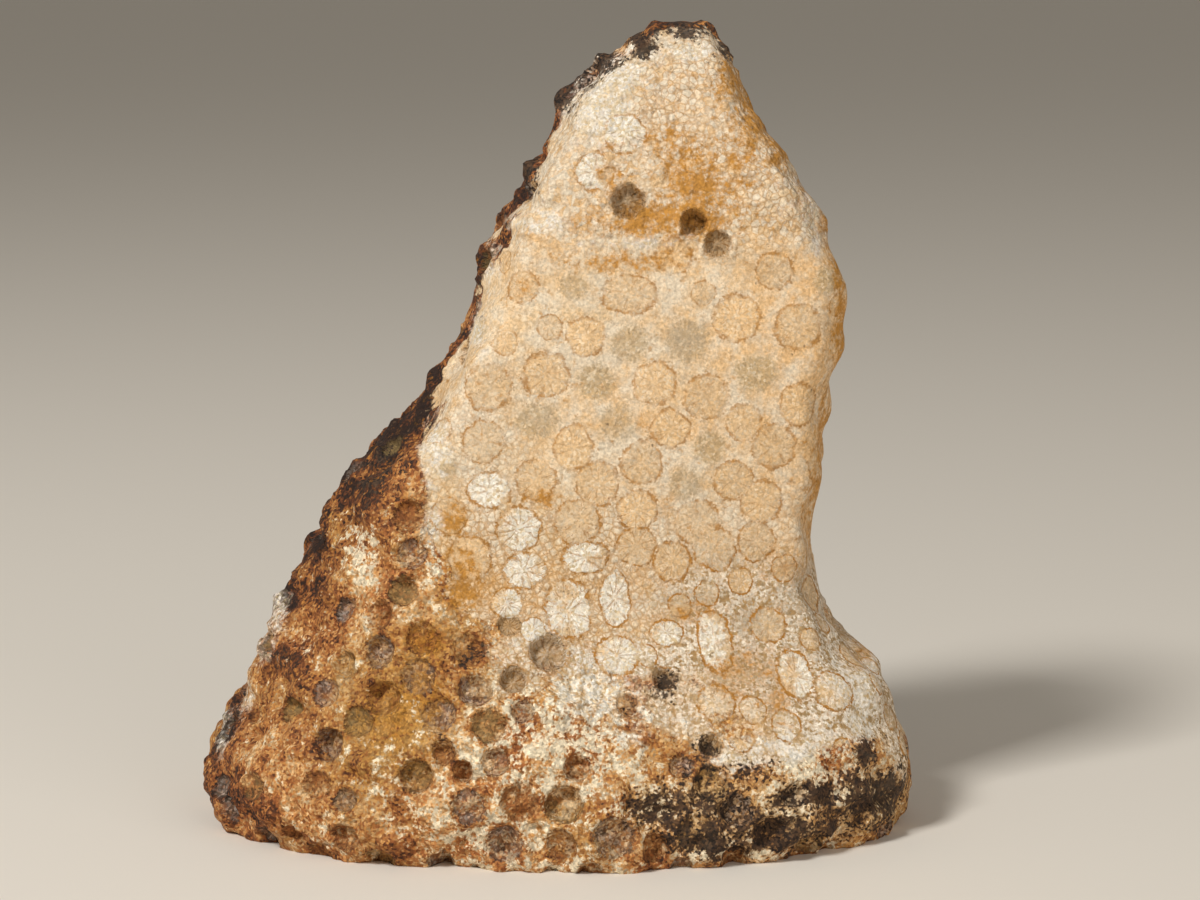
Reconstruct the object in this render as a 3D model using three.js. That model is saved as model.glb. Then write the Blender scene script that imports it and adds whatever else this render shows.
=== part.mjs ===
// A piece of fossil coral: one solid, leaning stone with a flattened, worn front, an outer rind
// full of cup-shaped pits, a few open cups near the top, and a flat cut face that it stands on.
// Millimetres, +Z up, the worn front towards -Y, the middle of the base at the origin.
import * as THREE from 'three';
import { ConvexHull } from 'three/addons/math/ConvexHull.js';

// Overall height of the stone
const HEIGHT = 140;

// Outlines of the whole lump, as pairs of height and reach
const LEFT_OUTLINE = [
  [0, -60.5], [8, -62.4], [15, -60], [22, -55.8], [40, -46.8], [58, -37.8], [67, -31.8], [72, -26.4],
  [84, -17.2], [93, -13.4], [103, -10.6], [108, -6.8], [118, -3.2], [125, 0.6], [132, 7.4], [140, 14],
];
const RIGHT_OUTLINE = [
  [0, 62.5], [12, 63.7], [20, 60.4], [27, 58], [32, 51], [38, 46.2], [46, 44], [55, 44.2],
  [66, 47.2], [80, 49.2], [93, 51.2], [104, 48.6], [110, 43.9], [121, 37], [128, 33.2], [140, 30],
];
const FRONT_OUTLINE = [
  [0, -41.5], [8, -43], [18, -41.5], [32, -38], [50, -34], [75, -29], [100, -24], [125, -14], [140, -6],
];
const BACK_OUTLINE = [
  [0, 42], [12, 43], [30, 41.5], [55, 36], [80, 31], [105, 24], [125, 17], [140, 11],
];
// Above 2, so that the cross-sections are a little squarer than an ellipse
const SQUARENESS = 2.3;
// How late and how suddenly the top closes
const TOP_BLUNTNESS = 34;

// The worn front: its distance from the middle of each cross-section, and the way it is turned
const FACE_DISTANCE = [
  [0, 46], [14, 42.6], [24, 37], [34, 30.5], [44, 25.6], [56, 22.6], [72, 19.8], [98, 15.6],
  [120, 11.2], [140, 5.6],
];
const FACE_TURN = [[0, 14], [40, 14], [60, 9], [80, 3], [110, 0], [140, -4]];
// A low wavy ledge runs across the worn front
const LEDGE = { height: 101, step: 1.3, softness: 1.5, wave: 2.5 };

// Old breaks on the back and the left: the way each one faces, its lean and its distance
const BREAKS = [
  { facing: 128, lean: 10, distance: 50 },
  { facing: 205, lean: 14, distance: 45.5 },
  { facing: 238, lean: 28, distance: 66 },
  { facing: 165, lean: 8, distance: 43 },
  { facing: 300, lean: 30, distance: 62 },
];
// How softly the faces run into each other
const EDGE_SOFTNESS = 1;

// Lumps of the weathered surface, from long waves to short ones
const LUMPS = { count: 7, longest: 52, ratio: 1.27, height: 0.42, bend: 1.8 };
// Share of the lumps that has been worn off the front
const LUMPS_WORN_OFF = 0.72;
// The edge of the base is slightly rubbed
const FOOT_RUB = { inset: 1.1, height: 1.6 };

// Cups seen from the front, as place across, height and diameter
const SEEN_CUPS = [
  [-33, 24, 5.6], [-29.5, 35.5, 5.9], [-22, 38, 5.9], [-22.5, 31.8, 6.2], [-28.5, 28, 6.2], [-35.5, 32.5, 5.2],
  [-38.5, 27.5, 5.2], [-29.5, 41.5, 5.4], [-25.5, 45.5, 5.6], [-24, 51.5, 5.2], [-24.5, 57.5, 5.8],
  [-38, 19.5, 5.8], [-40, 13, 5.2], [-51.5, 11, 5.2], [-56.5, 5, 4.8], [-44.5, 4, 4], [-35, 11.5, 4.4],
  [-35, 4.8, 5.2], [-23, 16, 5.9], [-19, 25.5, 6.2], [-18.3, 20.2, 4.6], [-45, 23.5, 4.8], [-35.5, 41, 4.6],
  [-14.3, 36, 5.9], [-13, 30, 6.2], [-6.7, 31, 4.9], [-10.7, 24.5, 6.2], [-5.2, 26.6, 4.4], [-1, 35, 6.8],
  [-7.5, 39.5, 4.2], [-9.6, 18.9, 5], [-15, 17.2, 3.7], [-14, 11.5, 6.2], [-5.7, 12.2, 6.8], [1.8, 11.8, 6.8],
  [-8.3, 5, 6.8], [1.2, 5, 5.8], [10.3, 6.5, 7.6], [17, 4, 5.2], [24, 6.4, 6.9], [31, 9.6, 5.8],
  [36.5, 5.5, 6.2], [26.5, 14, 6.2], [21.5, 17, 4.4], [4, 17.6, 4.8], [40.8, 11.4, 4.8], [52.5, 6.6, 5.2],
  [26.6, 19.8, 4], [18.6, 30, 4.4], [12.3, 26.6, 4.4],
];
// Open cups near the top of the worn front
const OPEN_CUPS = [[12.5, 110, 6.2], [23.6, 106.4, 4.8], [27.8, 102.6, 4.8]];
// Cups on the left side and the back, wound round the stone at an even spacing; the worn front has none
const HIDDEN_CUPS = { spacing: 10.4, smallest: 4.6, largest: 6.6, top: 132, wander: 0.24 };
const WORN_SIDE = { left: -72, right: 97 };
// Depths, the narrowing towards the floor and the low collar of a cup
const CUP = { depth: 1.5, openDepth: 2.2, floorShare: 0.64, collar: 0.3, rimPoints: 8, floorPoints: 6 };
// Stone left between two cups, and between a cup and the base
const CUP_GAP = 0.1;

// Spacing of the plain surface points, of those round the base and of the rings under it
const POINT_SPACING = 4.1;
const BASE_SPACING = 3.9;
const BASE_RINGS = [0.88, 0.66, 0.44, 0.22];
const COLOUR = '#c6a47c';

const GOLDEN_ANGLE = Math.PI * (3 - Math.sqrt(5));
const FAR_AWAY = 500;

// A smooth curve through pairs of height and value
function curve(knots) {
  const last = knots.length - 1;
  const slopes = knots.map((knot, i) => {
    const before = knots[Math.max(i - 1, 0)];
    const after = knots[Math.min(i + 1, last)];
    return (after[1] - before[1]) / (after[0] - before[0]);
  });
  return (z) => {
    let i = 0;
    while (i < last - 1 && z >= knots[i + 1][0]) i += 1;
    const span = knots[i + 1][0] - knots[i][0];
    const t = THREE.MathUtils.clamp((z - knots[i][0]) / span, 0, 1);
    const rise = t * t * (3 - 2 * t);
    const start = t * (1 - t) * (1 - t) * span * slopes[i];
    const end = t * t * (t - 1) * span * slopes[i + 1];
    return knots[i][1] * (1 - rise) + knots[i + 1][1] * rise + start + end;
  };
}

const leftAt = curve(LEFT_OUTLINE);
const rightAt = curve(RIGHT_OUTLINE);
const frontAt = curve(FRONT_OUTLINE);
const backAt = curve(BACK_OUTLINE);
const faceDistanceAt = curve(FACE_DISTANCE);
const faceTurnAt = curve(FACE_TURN);

// Middle of the cross-section at one height
function axisAt(z) {
  return new THREE.Vector2((leftAt(z) + rightAt(z)) / 2, (frontAt(z) + backAt(z)) / 2);
}

// Reach of a squarish oval in one direction
function ovalReach(theta, z) {
  const across = Math.abs(Math.sin(theta)) / ((rightAt(z) - leftAt(z)) / 2);
  const deep = Math.abs(Math.cos(theta)) / ((backAt(z) - frontAt(z)) / 2);
  return (across ** SQUARENESS + deep ** SQUARENESS) ** (-1 / SQUARENESS);
}

// Reach of the worn front in one direction
function faceReach(theta, z) {
  const towards = Math.cos(theta - THREE.MathUtils.degToRad(faceTurnAt(z)));
  const line = LEDGE.height + LEDGE.wave * Math.sin(4 * theta + 1);
  const ledge = LEDGE.step / (1 + Math.exp((line - z) / LEDGE.softness));
  return towards > 0.05 ? (faceDistanceAt(z) + ledge) / towards : FAR_AWAY;
}

// Reach of one break in one direction
function breakReach({ facing, lean, distance }, theta, z) {
  const turn = THREE.MathUtils.degToRad(facing);
  const rise = THREE.MathUtils.degToRad(lean);
  const axis = axisAt(z);
  const towards = Math.cos(theta - turn) * Math.cos(rise);
  const inset = (axis.x * Math.sin(turn) - axis.y * Math.cos(turn)) * Math.cos(rise) + z * Math.sin(rise);
  return towards > 0.05 ? (distance - inset) / towards : FAR_AWAY;
}

// Height of the weathered lumps at a place
function lumpHeight(x, y, z) {
  let total = 0;
  for (let i = 0; i < LUMPS.count; i += 1) {
    const up = 1 - (2 * i + 1) / LUMPS.count;
    const flat = Math.sqrt(1 - up * up);
    const turn = GOLDEN_ANGLE * i;
    const pitch = (2 * Math.PI * LUMPS.ratio ** i) / LUMPS.longest;
    const along = pitch * (flat * Math.cos(turn) * x + flat * Math.sin(turn) * y + up * z);
    const across = 0.6 * pitch * (up * x - flat * y + flat * Math.sin(2 * turn) * z);
    total += LUMPS.height * Math.sin(along + LUMPS.bend * Math.sin(across + i) + i * i);
  }
  return total;
}

// A place on the stone, from an angle round it (0 at the front, 90 degrees on the right) and a height
function surface(theta, z) {
  const reaches = [ovalReach(theta, z), faceReach(theta, z)];
  BREAKS.forEach((oldBreak) => reaches.push(breakReach(oldBreak, theta, z)));
  const weights = reaches.map((reach) => Math.exp(-reach / EDGE_SOFTNESS));
  const sum = weights.reduce((a, b) => a + b);
  const worn = weights[1] / sum;
  const closing = Math.sqrt(Math.max(1 - (z / HEIGHT) ** TOP_BLUNTNESS, 0));
  const reach = -EDGE_SOFTNESS * Math.log(sum) * closing;
  const axis = axisAt(z);
  const lump = lumpHeight(axis.x + reach * Math.sin(theta), axis.y - reach * Math.cos(theta), z);
  const rub = FOOT_RUB.inset * Math.exp(-z / FOOT_RUB.height);
  const total = reach + (lump * (1 - LUMPS_WORN_OFF * worn) - rub) * Math.min(1, reach / 12);
  return new THREE.Vector3(axis.x + total * Math.sin(theta), axis.y - total * Math.cos(theta), z);
}

// Slopes of the surface round the stone and up it, and its outward direction
function slopesAt(theta, z) {
  const turn = 0.004;
  const rise = 0.05;
  const round = surface(theta + turn, z).sub(surface(theta - turn, z)).divideScalar(2 * turn);
  const top = Math.min(z + rise, HEIGHT);
  const bottom = Math.max(z - rise, 0);
  const up = surface(theta, top).sub(surface(theta, bottom)).divideScalar(top - bottom);
  return { round, up, outward: round.clone().cross(up).normalize() };
}

// Girth up the stone: for steps of height, the area below each and how far up it lies on a plan
// of the surface that keeps angles true
function measureGirth(steps = 400, around = 40) {
  const levels = [];
  let area = 0;
  let climb = 0;
  let below = null;
  for (let i = 0; i < steps; i += 1) {
    const z = HEIGHT * (1 - (1 - i / steps) ** 1.8);
    const ring = Array.from({ length: around }, (_, j) => surface((2 * Math.PI * j) / around, z));
    const girth = ring.reduce((sum, point, j) => sum + point.distanceTo(ring[(j + 1) % around]), 0);
    if (below) {
      const slope = ring.reduce((sum, point, j) => sum + point.distanceTo(below.ring[j]), 0) / around;
      const mean = (girth + below.girth) / 2;
      area += slope * mean;
      climb += (slope * 2 * Math.PI) / mean;
    }
    below = { ring, girth };
    levels.push({ z, area, climb });
  }
  return levels;
}

// Reads one column of the girth at a value of another
function lookUp(levels, from, to, value) {
  let i = 0;
  while (i < levels.length - 2 && levels[i + 1][from] < value) i += 1;
  const share = (value - levels[i][from]) / (levels[i + 1][from] - levels[i][from]);
  return THREE.MathUtils.lerp(levels[i][to], levels[i + 1][to], THREE.MathUtils.clamp(share, 0, 1));
}

// Even places over the sides of the stone, wound round it from the base to the top
function windRound(levels, spacing) {
  const area = levels[levels.length - 1].area;
  const count = Math.round(area / (spacing * spacing * Math.sqrt(0.75)));
  return Array.from({ length: count }, (_, i) => ({
    index: i,
    theta: THREE.MathUtils.euclideanModulo(i * GOLDEN_ANGLE + Math.PI, 2 * Math.PI) - Math.PI,
    z: lookUp(levels, 'area', 'z', ((i + 0.5) / count) * area),
  }));
}

// The angle at which the front reaches a place across at one height
function angleOnFront(x, z) {
  let low = -Math.PI * 0.55;
  let high = Math.PI * 0.55;
  for (let i = 0; i < 40; i += 1) {
    const middle = (low + high) / 2;
    if (surface(middle, z).x < x) low = middle;
    else high = middle;
  }
  return (low + high) / 2;
}

// All the cups, without those that would run into another or into the base
function placeCups(levels) {
  const seen = SEEN_CUPS.map(([x, z, diameter]) => (
    { theta: angleOnFront(x, z), z, radius: diameter / 2, depth: CUP.depth }
  ));
  const open = OPEN_CUPS.map(([x, z, diameter]) => (
    { theta: angleOnFront(x, z), z, radius: diameter / 2, depth: CUP.openDepth }
  ));
  const wornLeft = THREE.MathUtils.degToRad(WORN_SIDE.left);
  const wornRight = THREE.MathUtils.degToRad(WORN_SIDE.right);
  const hidden = windRound(levels, HIDDEN_CUPS.spacing)
    .filter(({ theta, z }) => (theta < wornLeft || theta > wornRight) && z < HIDDEN_CUPS.top)
    .map(({ index, theta, z }) => {
      const share = 0.5 + 0.5 * Math.sin(index * 2.4);
      const diameter = THREE.MathUtils.lerp(HIDDEN_CUPS.smallest, HIDDEN_CUPS.largest, share);
      const step = HIDDEN_CUPS.wander * HIDDEN_CUPS.spacing;
      return {
        theta: theta + (step * Math.sin(index * 1.7)) / 50,
        z: z + step * Math.sin(index * 3.1),
        radius: diameter / 2,
        depth: CUP.depth,
      };
    });
  const kept = [];
  [...open, ...seen, ...hidden].forEach((cup) => {
    const centre = surface(cup.theta, cup.z);
    const clear = kept.every((other) => (
      centre.distanceTo(other.centre) > cup.radius + other.radius + CUP_GAP
    ));
    if (clear && cup.z > cup.radius + CUP_GAP) kept.push({ ...cup, centre });
  });
  return kept;
}

// A ring of places round a cup, moved out of the surface by a height
function cupRing(cup, share, count, lift, turn) {
  const { round, up, outward } = slopesAt(cup.theta, cup.z);
  const side = round.clone().normalize();
  const over = outward.clone().cross(side);
  const slant = up.dot(side) / up.dot(over);
  return Array.from({ length: count }, (_, i) => {
    const angle = turn + (2 * Math.PI * i) / count;
    const reach = cup.radius * share * (1 + 0.06 * Math.sin(3 * angle + cup.z));
    const acrossStep = reach * Math.cos(angle);
    const upStep = reach * Math.sin(angle);
    const z = cup.z + upStep / up.dot(over);
    const theta = cup.theta + (acrossStep - upStep * slant) / round.length();
    return { theta, z, position: surface(theta, z).addScaledVector(outward, lift) };
  });
}

// Every point of the stone's skin, each with its angle round the stone and its climb up the plan
function skinPoints() {
  const levels = measureGirth();
  const climbAt = (z) => lookUp(levels, 'z', 'climb', z);
  const cups = placeCups(levels);
  const points = [];
  const add = ({ theta, z, position }) => points.push({ theta, climb: climbAt(z), position });
  cups.forEach((cup) => {
    cupRing(cup, 1, CUP.rimPoints, CUP.collar, 0.3).forEach(add);
    cupRing(cup, CUP.floorShare, CUP.floorPoints, -cup.depth, 0.6).forEach(add);
  });
  windRound(levels, POINT_SPACING).forEach(({ theta, z }) => {
    const position = surface(theta, z);
    const clear = cups.every((cup) => position.distanceTo(cup.centre) > cup.radius + POINT_SPACING / 2.6);
    if (clear && z > BASE_SPACING * 0.6) add({ theta, z, position });
  });
  points.push({ theta: 0, climb: Infinity, position: surface(0, HEIGHT) });
  return [...points, ...basePoints()];
}

// The rim of the flat base and the rings inside it
function basePoints() {
  const axis = axisAt(0);
  const middle = new THREE.Vector3(axis.x, axis.y, 0);
  const girth = Math.PI * (rightAt(0) - leftAt(0) + backAt(0) - frontAt(0)) / 2;
  return [1, ...BASE_RINGS].flatMap((share, ring) => {
    const count = Math.round((girth / BASE_SPACING) * share ** 2) + 3;
    return Array.from({ length: count }, (_, i) => {
      const theta = (2 * Math.PI * (i + 0.5 * (ring % 2))) / count;
      return { theta, climb: Math.log(share), position: middle.clone().lerp(surface(theta, 0), share) };
    });
  });
}

// The points are joined as their nearest neighbours lie on a ball that keeps the plan's angles
function joinSkin(points) {
  const middleClimb = 1.4;
  const places = new Map();
  points.forEach(({ theta, climb }, index) => {
    const latitude = 2 * Math.atan(Math.exp(climb - middleClimb)) - Math.PI / 2;
    const level = Math.cos(latitude);
    const onBall = new THREE.Vector3(level * Math.sin(theta), -level * Math.cos(theta), Math.sin(latitude));
    places.set(onBall, index);
  });
  const hull = new ConvexHull().setFromPoints([...places.keys()]);
  const triangles = hull.faces.flatMap((face) => {
    const edge = face.edge;
    return [edge, edge.next, edge.next.next].map((side) => places.get(side.head().point));
  });
  const geometry = new THREE.BufferGeometry();
  const positions = points.flatMap(({ position }) => position.toArray());
  geometry.setAttribute('position', new THREE.Float32BufferAttribute(positions, 3));
  geometry.setIndex(triangles);
  geometry.computeVertexNormals();
  return geometry;
}

const coral = new THREE.Mesh(
  joinSkin(skinPoints()),
  new THREE.MeshStandardMaterial({ color: COLOUR, roughness: 0.9, metalness: 0 }),
);
coral.name = 'fossil_coral';

const group = new THREE.Group();
group.name = 'fossil_coral_piece';
group.add(coral);

export default group;
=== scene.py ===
"""Fossil coral: one upright stone with a worn front of flush rosettes and a rind full of cups."""
import itertools
import logging
import math
from dataclasses import dataclass, field
from enum import Enum
from typing import Any

import bpy
import numpy as np
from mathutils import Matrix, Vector


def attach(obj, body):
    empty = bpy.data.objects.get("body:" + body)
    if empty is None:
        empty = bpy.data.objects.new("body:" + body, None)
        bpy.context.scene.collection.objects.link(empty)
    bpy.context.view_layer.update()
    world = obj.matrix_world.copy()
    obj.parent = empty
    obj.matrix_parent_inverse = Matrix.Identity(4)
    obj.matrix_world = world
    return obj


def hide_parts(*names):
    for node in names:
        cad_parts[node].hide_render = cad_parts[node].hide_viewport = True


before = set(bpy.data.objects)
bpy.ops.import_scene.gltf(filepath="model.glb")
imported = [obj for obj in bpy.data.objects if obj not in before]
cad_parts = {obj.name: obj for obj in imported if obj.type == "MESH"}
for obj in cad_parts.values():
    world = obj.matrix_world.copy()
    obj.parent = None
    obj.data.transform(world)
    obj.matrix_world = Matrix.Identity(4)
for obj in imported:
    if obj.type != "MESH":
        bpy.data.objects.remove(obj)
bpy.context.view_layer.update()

LOG = logging.getLogger("fossil_coral")
MM = 0.001
GOLDEN_ANGLE = math.pi * (3.0 - math.sqrt(5.0))
GOLDEN_SHARE = 0.618
STAIN_FADE = 0.7


def linear(hex_colour: str) -> tuple[float, float, float, float]:
    """Turns an sRGB hex colour into a linear one.

    Args:
        hex_colour: The colour, such as "#d9be9c".

    Returns:
        Linear red, green, blue and an alpha of 1.
    """
    channels = [int(hex_colour[i:i + 2], 16) / 255.0 for i in (1, 3, 5)]
    red, green, blue = (c / 12.92 if c <= 0.04045 else ((c + 0.055) / 1.055) ** 2.4 for c in channels)
    return red, green, blue, 1.0


def smooth(low: float, high: float, value: np.ndarray) -> np.ndarray:
    """Rises from 0 at low to 1 at high along the curve t * t * (3 - 2 t).

    Args:
        low: Value that gives 0.
        high: Value that gives 1; it may lie below low.
        value: Values to ease.

    Returns:
        The eased values.
    """
    t = np.clip((value - low) / (high - low), 0.0, 1.0)
    return t * t * (3.0 - 2.0 * t)


def grain(places: np.ndarray, size: float, seed: int) -> np.ndarray:
    """Soft random relief from -1 to 1.

    Every corner of a lattice of cubes has a value mixed from its whole-number place, and the eight
    values round a point are blended along the three axes with t * t * (3 - 2 t).

    Args:
        places: Points, as an array of N by 3.
        size: Side of a cube, in the units of the points.
        seed: Picks one of many reliefs.

    Returns:
        One value for each point.
    """
    corner = np.floor(places / size)
    part = places / size - corner
    ease = part * part * (3.0 - 2.0 * part)
    corner = corner.astype(np.int64)
    total = np.zeros(len(places))
    for step in itertools.product((0, 1), repeat=3):
        mixed = ((corner + step) * (73856093, 19349663, 83492791)).sum(axis=1) + 668265263 * seed
        mixed = ((mixed ^ (mixed >> 13)) * 1274126177) & 0xFFFFFFFF
        mixed = ((mixed ^ (mixed >> 15)) * 2246822519) & 0xFFFFFFFF
        value = ((mixed ^ (mixed >> 16)) & 0xFFFF) / 32767.5 - 1.0
        total += value * np.where(step, ease, 1.0 - ease).prod(axis=1)
    return total


@dataclass(frozen=True)
class Curve:
    """A smooth curve through pairs of height and value."""

    knots: tuple[tuple[float, float], ...]

    def at(self, z: np.ndarray) -> np.ndarray:
        """Reads the curve: a cubic between two knots, with slopes taken across each knot's neighbours.

        Args:
            z: Heights.

        Returns:
            The values at those heights.
        """
        heights, values = np.array(self.knots, dtype=float).T
        before = np.maximum(np.arange(len(heights)) - 1, 0)
        after = np.minimum(np.arange(len(heights)) + 1, len(heights) - 1)
        slopes = (values[after] - values[before]) / (heights[after] - heights[before])
        i = np.clip(np.searchsorted(heights, z, side="right") - 1, 0, len(heights) - 2)
        span = heights[i + 1] - heights[i]
        t = np.clip((z - heights[i]) / span, 0.0, 1.0)
        rise = t * t * (3.0 - 2.0 * t)
        start = t * (1.0 - t) ** 2 * span * slopes[i]
        end = t * t * (t - 1.0) * span * slopes[i + 1]
        return values[i] * (1.0 - rise) + values[i + 1] * rise + start + end


@dataclass(frozen=True)
class OldBreak:
    """A flat old break: the way it faces and its lean in degrees, and its distance in millimetres."""

    facing: float
    lean: float
    distance: float


@dataclass(frozen=True)
class StoneForm:
    """The stone's outer form in millimetres, the same formula and sizes as its solid has."""

    height: float = 140.0
    # Outlines seen from the front, and the guessed ones seen from the side.
    left: Curve = Curve((
        (0, -60.5), (8, -62.4), (15, -60), (22, -55.8), (40, -46.8), (58, -37.8), (67, -31.8),
        (72, -26.4), (84, -17.2), (93, -13.4), (103, -10.6), (108, -6.8), (118, -3.2), (125, 0.6),
        (132, 7.4), (140, 14)))
    right: Curve = Curve((
        (0, 62.5), (12, 63.7), (20, 60.4), (27, 58), (32, 51), (38, 46.2), (46, 44), (55, 44.2),
        (66, 47.2), (80, 49.2), (93, 51.2), (104, 48.6), (110, 43.9), (121, 37), (128, 33.2), (140, 30)))
    front: Curve = Curve((
        (0, -41.5), (8, -43), (18, -41.5), (32, -38), (50, -34), (75, -29), (100, -24), (125, -14),
        (140, -6)))
    back: Curve = Curve((
        (0, 42), (12, 43), (30, 41.5), (55, 36), (80, 31), (105, 24), (125, 17), (140, 11)))
    squareness: float = 2.3
    top_bluntness: float = 34.0
    # The worn front: its distance from the axis, the way it faces, and the ledge across it.
    face_distance: Curve = Curve((
        (0, 46), (14, 42.6), (24, 37), (34, 30.5), (44, 25.6), (56, 22.6), (72, 19.8), (98, 15.6),
        (120, 11.2), (140, 5.6)))
    face_turn: Curve = Curve(((0, 14), (40, 14), (60, 9), (80, 3), (110, 0), (140, -4)))
    ledge_height: float = 101.0
    ledge_step: float = 1.3
    ledge_softness: float = 1.5
    ledge_wave: float = 2.5
    breaks: tuple[OldBreak, ...] = (
        OldBreak(128, 10, 50), OldBreak(205, 14, 45.5), OldBreak(238, 28, 66), OldBreak(165, 8, 43),
        OldBreak(300, 30, 62))
    edge_softness: float = 1.0
    lump_count: int = 7
    lump_longest: float = 52.0
    lump_ratio: float = 1.27
    lump_height: float = 0.42
    lump_bend: float = 1.8
    lumps_worn_off: float = 0.72
    foot_rub: float = 1.1
    foot_rub_height: float = 1.6
    lump_fade: float = 12.0
    least_cosine: float = 0.05
    far_off: float = 500.0

    def axis(self, z: np.ndarray) -> tuple[np.ndarray, np.ndarray]:
        """Finds the middle of the cross-sections.

        Args:
            z: Heights.

        Returns:
            The middles' places across and in depth.
        """
        across = (self.left.at(z) + self.right.at(z)) / 2.0
        deep = (self.front.at(z) + self.back.at(z)) / 2.0
        return across, deep

    def lumps(self, x: np.ndarray, y: np.ndarray, z: np.ndarray) -> np.ndarray:
        """Adds up bent waves: each is a sine along its own direction, bent by a sine across it.

        Args:
            x: Places across.
            y: Places in depth.
            z: Heights.

        Returns:
            Height of the weathered lumps at each place.
        """
        total = np.zeros(np.shape(x))
        for i in range(self.lump_count):
            up = 1.0 - (2 * i + 1) / self.lump_count
            flat = math.sqrt(1.0 - up * up)
            turn = GOLDEN_ANGLE * i
            pitch = 2.0 * math.pi * self.lump_ratio ** i / self.lump_longest
            along = pitch * (flat * math.cos(turn) * x + flat * math.sin(turn) * y + up * z)
            across = 0.6 * pitch * (up * x - flat * y + flat * math.sin(2.0 * turn) * z)
            total = total + self.lump_height * np.sin(along + self.lump_bend * np.sin(across + i) + i * i)
        return total

    def surface(self, theta: np.ndarray, z: np.ndarray) -> tuple[np.ndarray, np.ndarray]:
        """Finds places on the stone, from an angle round it and a height.

        The reach from the axis is the soft smallest of a squarish oval, the worn front and the old
        breaks; it closes at the top like a root, and the lumps are added to it.

        Args:
            theta: Angles, 0 at the front and a quarter turn on the right.
            z: Heights.

        Returns:
            The places, and how far each one lies on the worn front, from 0 to 1.
        """
        theta, z = np.broadcast_arrays(np.asarray(theta, dtype=float), np.asarray(z, dtype=float))
        across, deep = self.axis(z)
        sine, cosine = np.sin(theta), np.cos(theta)
        half_width = (self.right.at(z) - self.left.at(z)) / 2.0
        half_depth = (self.back.at(z) - self.front.at(z)) / 2.0
        wide = (np.abs(sine) / half_width) ** self.squareness
        oval = wide + (np.abs(cosine) / half_depth) ** self.squareness
        reaches = [oval ** (-1.0 / self.squareness)]
        line = self.ledge_height + self.ledge_wave * np.sin(4.0 * theta + 1.0)
        ledge = self.ledge_step / (1.0 + np.exp(np.clip((line - z) / self.ledge_softness, -50.0, 50.0)))
        towards = np.cos(theta - np.radians(self.face_turn.at(z)))
        reaches.append(self._to_plane(self.face_distance.at(z) + ledge, towards))
        for old in self.breaks:
            turn, rise = math.radians(old.facing), math.radians(old.lean)
            towards = np.cos(theta - turn) * math.cos(rise)
            inset = (across * math.sin(turn) - deep * math.cos(turn)) * math.cos(rise)
            reaches.append(self._to_plane(old.distance - (inset + z * math.sin(rise)), towards))
        weights = np.exp(-np.stack(reaches) / self.edge_softness)
        total = weights.sum(axis=0)
        worn = weights[1] / total
        closing = np.sqrt(np.maximum(1.0 - (z / self.height) ** self.top_bluntness, 0.0))
        reach = -self.edge_softness * np.log(total) * closing
        lump = self.lumps(across + reach * sine, deep - reach * cosine, z)
        lump = lump * (1.0 - self.lumps_worn_off * worn)
        rub = self.foot_rub * np.exp(-z / self.foot_rub_height)
        reach = reach + (lump - rub) * np.minimum(1.0, reach / self.lump_fade)
        return np.stack([across + reach * sine, deep - reach * cosine, z], axis=-1), worn

    def _to_plane(self, distance: np.ndarray, towards: np.ndarray) -> np.ndarray:
        """Finds the reach to a plane: distance over cosine, or far off where the plane turns away.

        Args:
            distance: Distances of the plane from the axis.
            towards: Cosines of the angle to the plane's facing.

        Returns:
            The reaches.
        """
        least = self.least_cosine
        return np.where(towards > least, distance / np.maximum(towards, least), self.far_off)

    def tangents(self, theta: np.ndarray, z: np.ndarray) -> tuple[np.ndarray, np.ndarray, np.ndarray]:
        """Finds unit directions round the stone, up its surface and out of it.

        Args:
            theta: Angles round the stone.
            z: Heights.

        Returns:
            The side, up and outward directions at each place.
        """
        turn, rise = 0.004, 0.05
        side = self.surface(theta + turn, z)[0] - self.surface(theta - turn, z)[0]
        top, bottom = np.minimum(z + rise, self.height), np.maximum(z - rise, 0.0)
        climb = self.surface(theta, top)[0] - self.surface(theta, bottom)[0]
        outward = np.cross(side, climb)
        outward /= np.linalg.norm(outward, axis=-1, keepdims=True)
        side /= np.linalg.norm(side, axis=-1, keepdims=True)
        return side, np.cross(outward, side), outward

    def girth(self, steps: int = 400, around: int = 40) -> tuple[np.ndarray, np.ndarray, np.ndarray]:
        """Measures the stone from the base up.

        Args:
            steps: Number of heights.
            around: Number of points in each ring.

        Returns:
            The heights, the skin's area below each, and the length of the way up to each.
        """
        z = self.height * (1.0 - (1.0 - np.arange(steps) / steps) ** 1.8)
        theta = 2.0 * math.pi * np.arange(around) / around
        rings = self.surface(theta[None, :], z[:, None])[0]
        round_it = np.linalg.norm(np.roll(rings, -1, axis=1) - rings, axis=-1).sum(axis=1)
        slope = np.linalg.norm(np.diff(rings, axis=0), axis=-1).mean(axis=1)
        area = np.concatenate([[0.0], np.cumsum(slope * (round_it[1:] + round_it[:-1]) / 2.0)])
        return z, area, np.concatenate([[0.0], np.cumsum(slope)])

    def wind_round(self, spacing: float) -> tuple[np.ndarray, np.ndarray]:
        """Spreads even places over the sides, wound round the stone by the golden angle.

        Args:
            spacing: Distance between neighbours.

        Returns:
            The angles and the heights.
        """
        z, area, _ = self.girth()
        count = int(math.floor(area[-1] / (spacing * spacing * math.sqrt(0.75)) + 0.5))
        index = np.arange(count)
        theta = np.mod(index * GOLDEN_ANGLE + math.pi, 2.0 * math.pi) - math.pi
        return theta, np.interp((index + 0.5) / count * area[-1], area, z)

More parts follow.
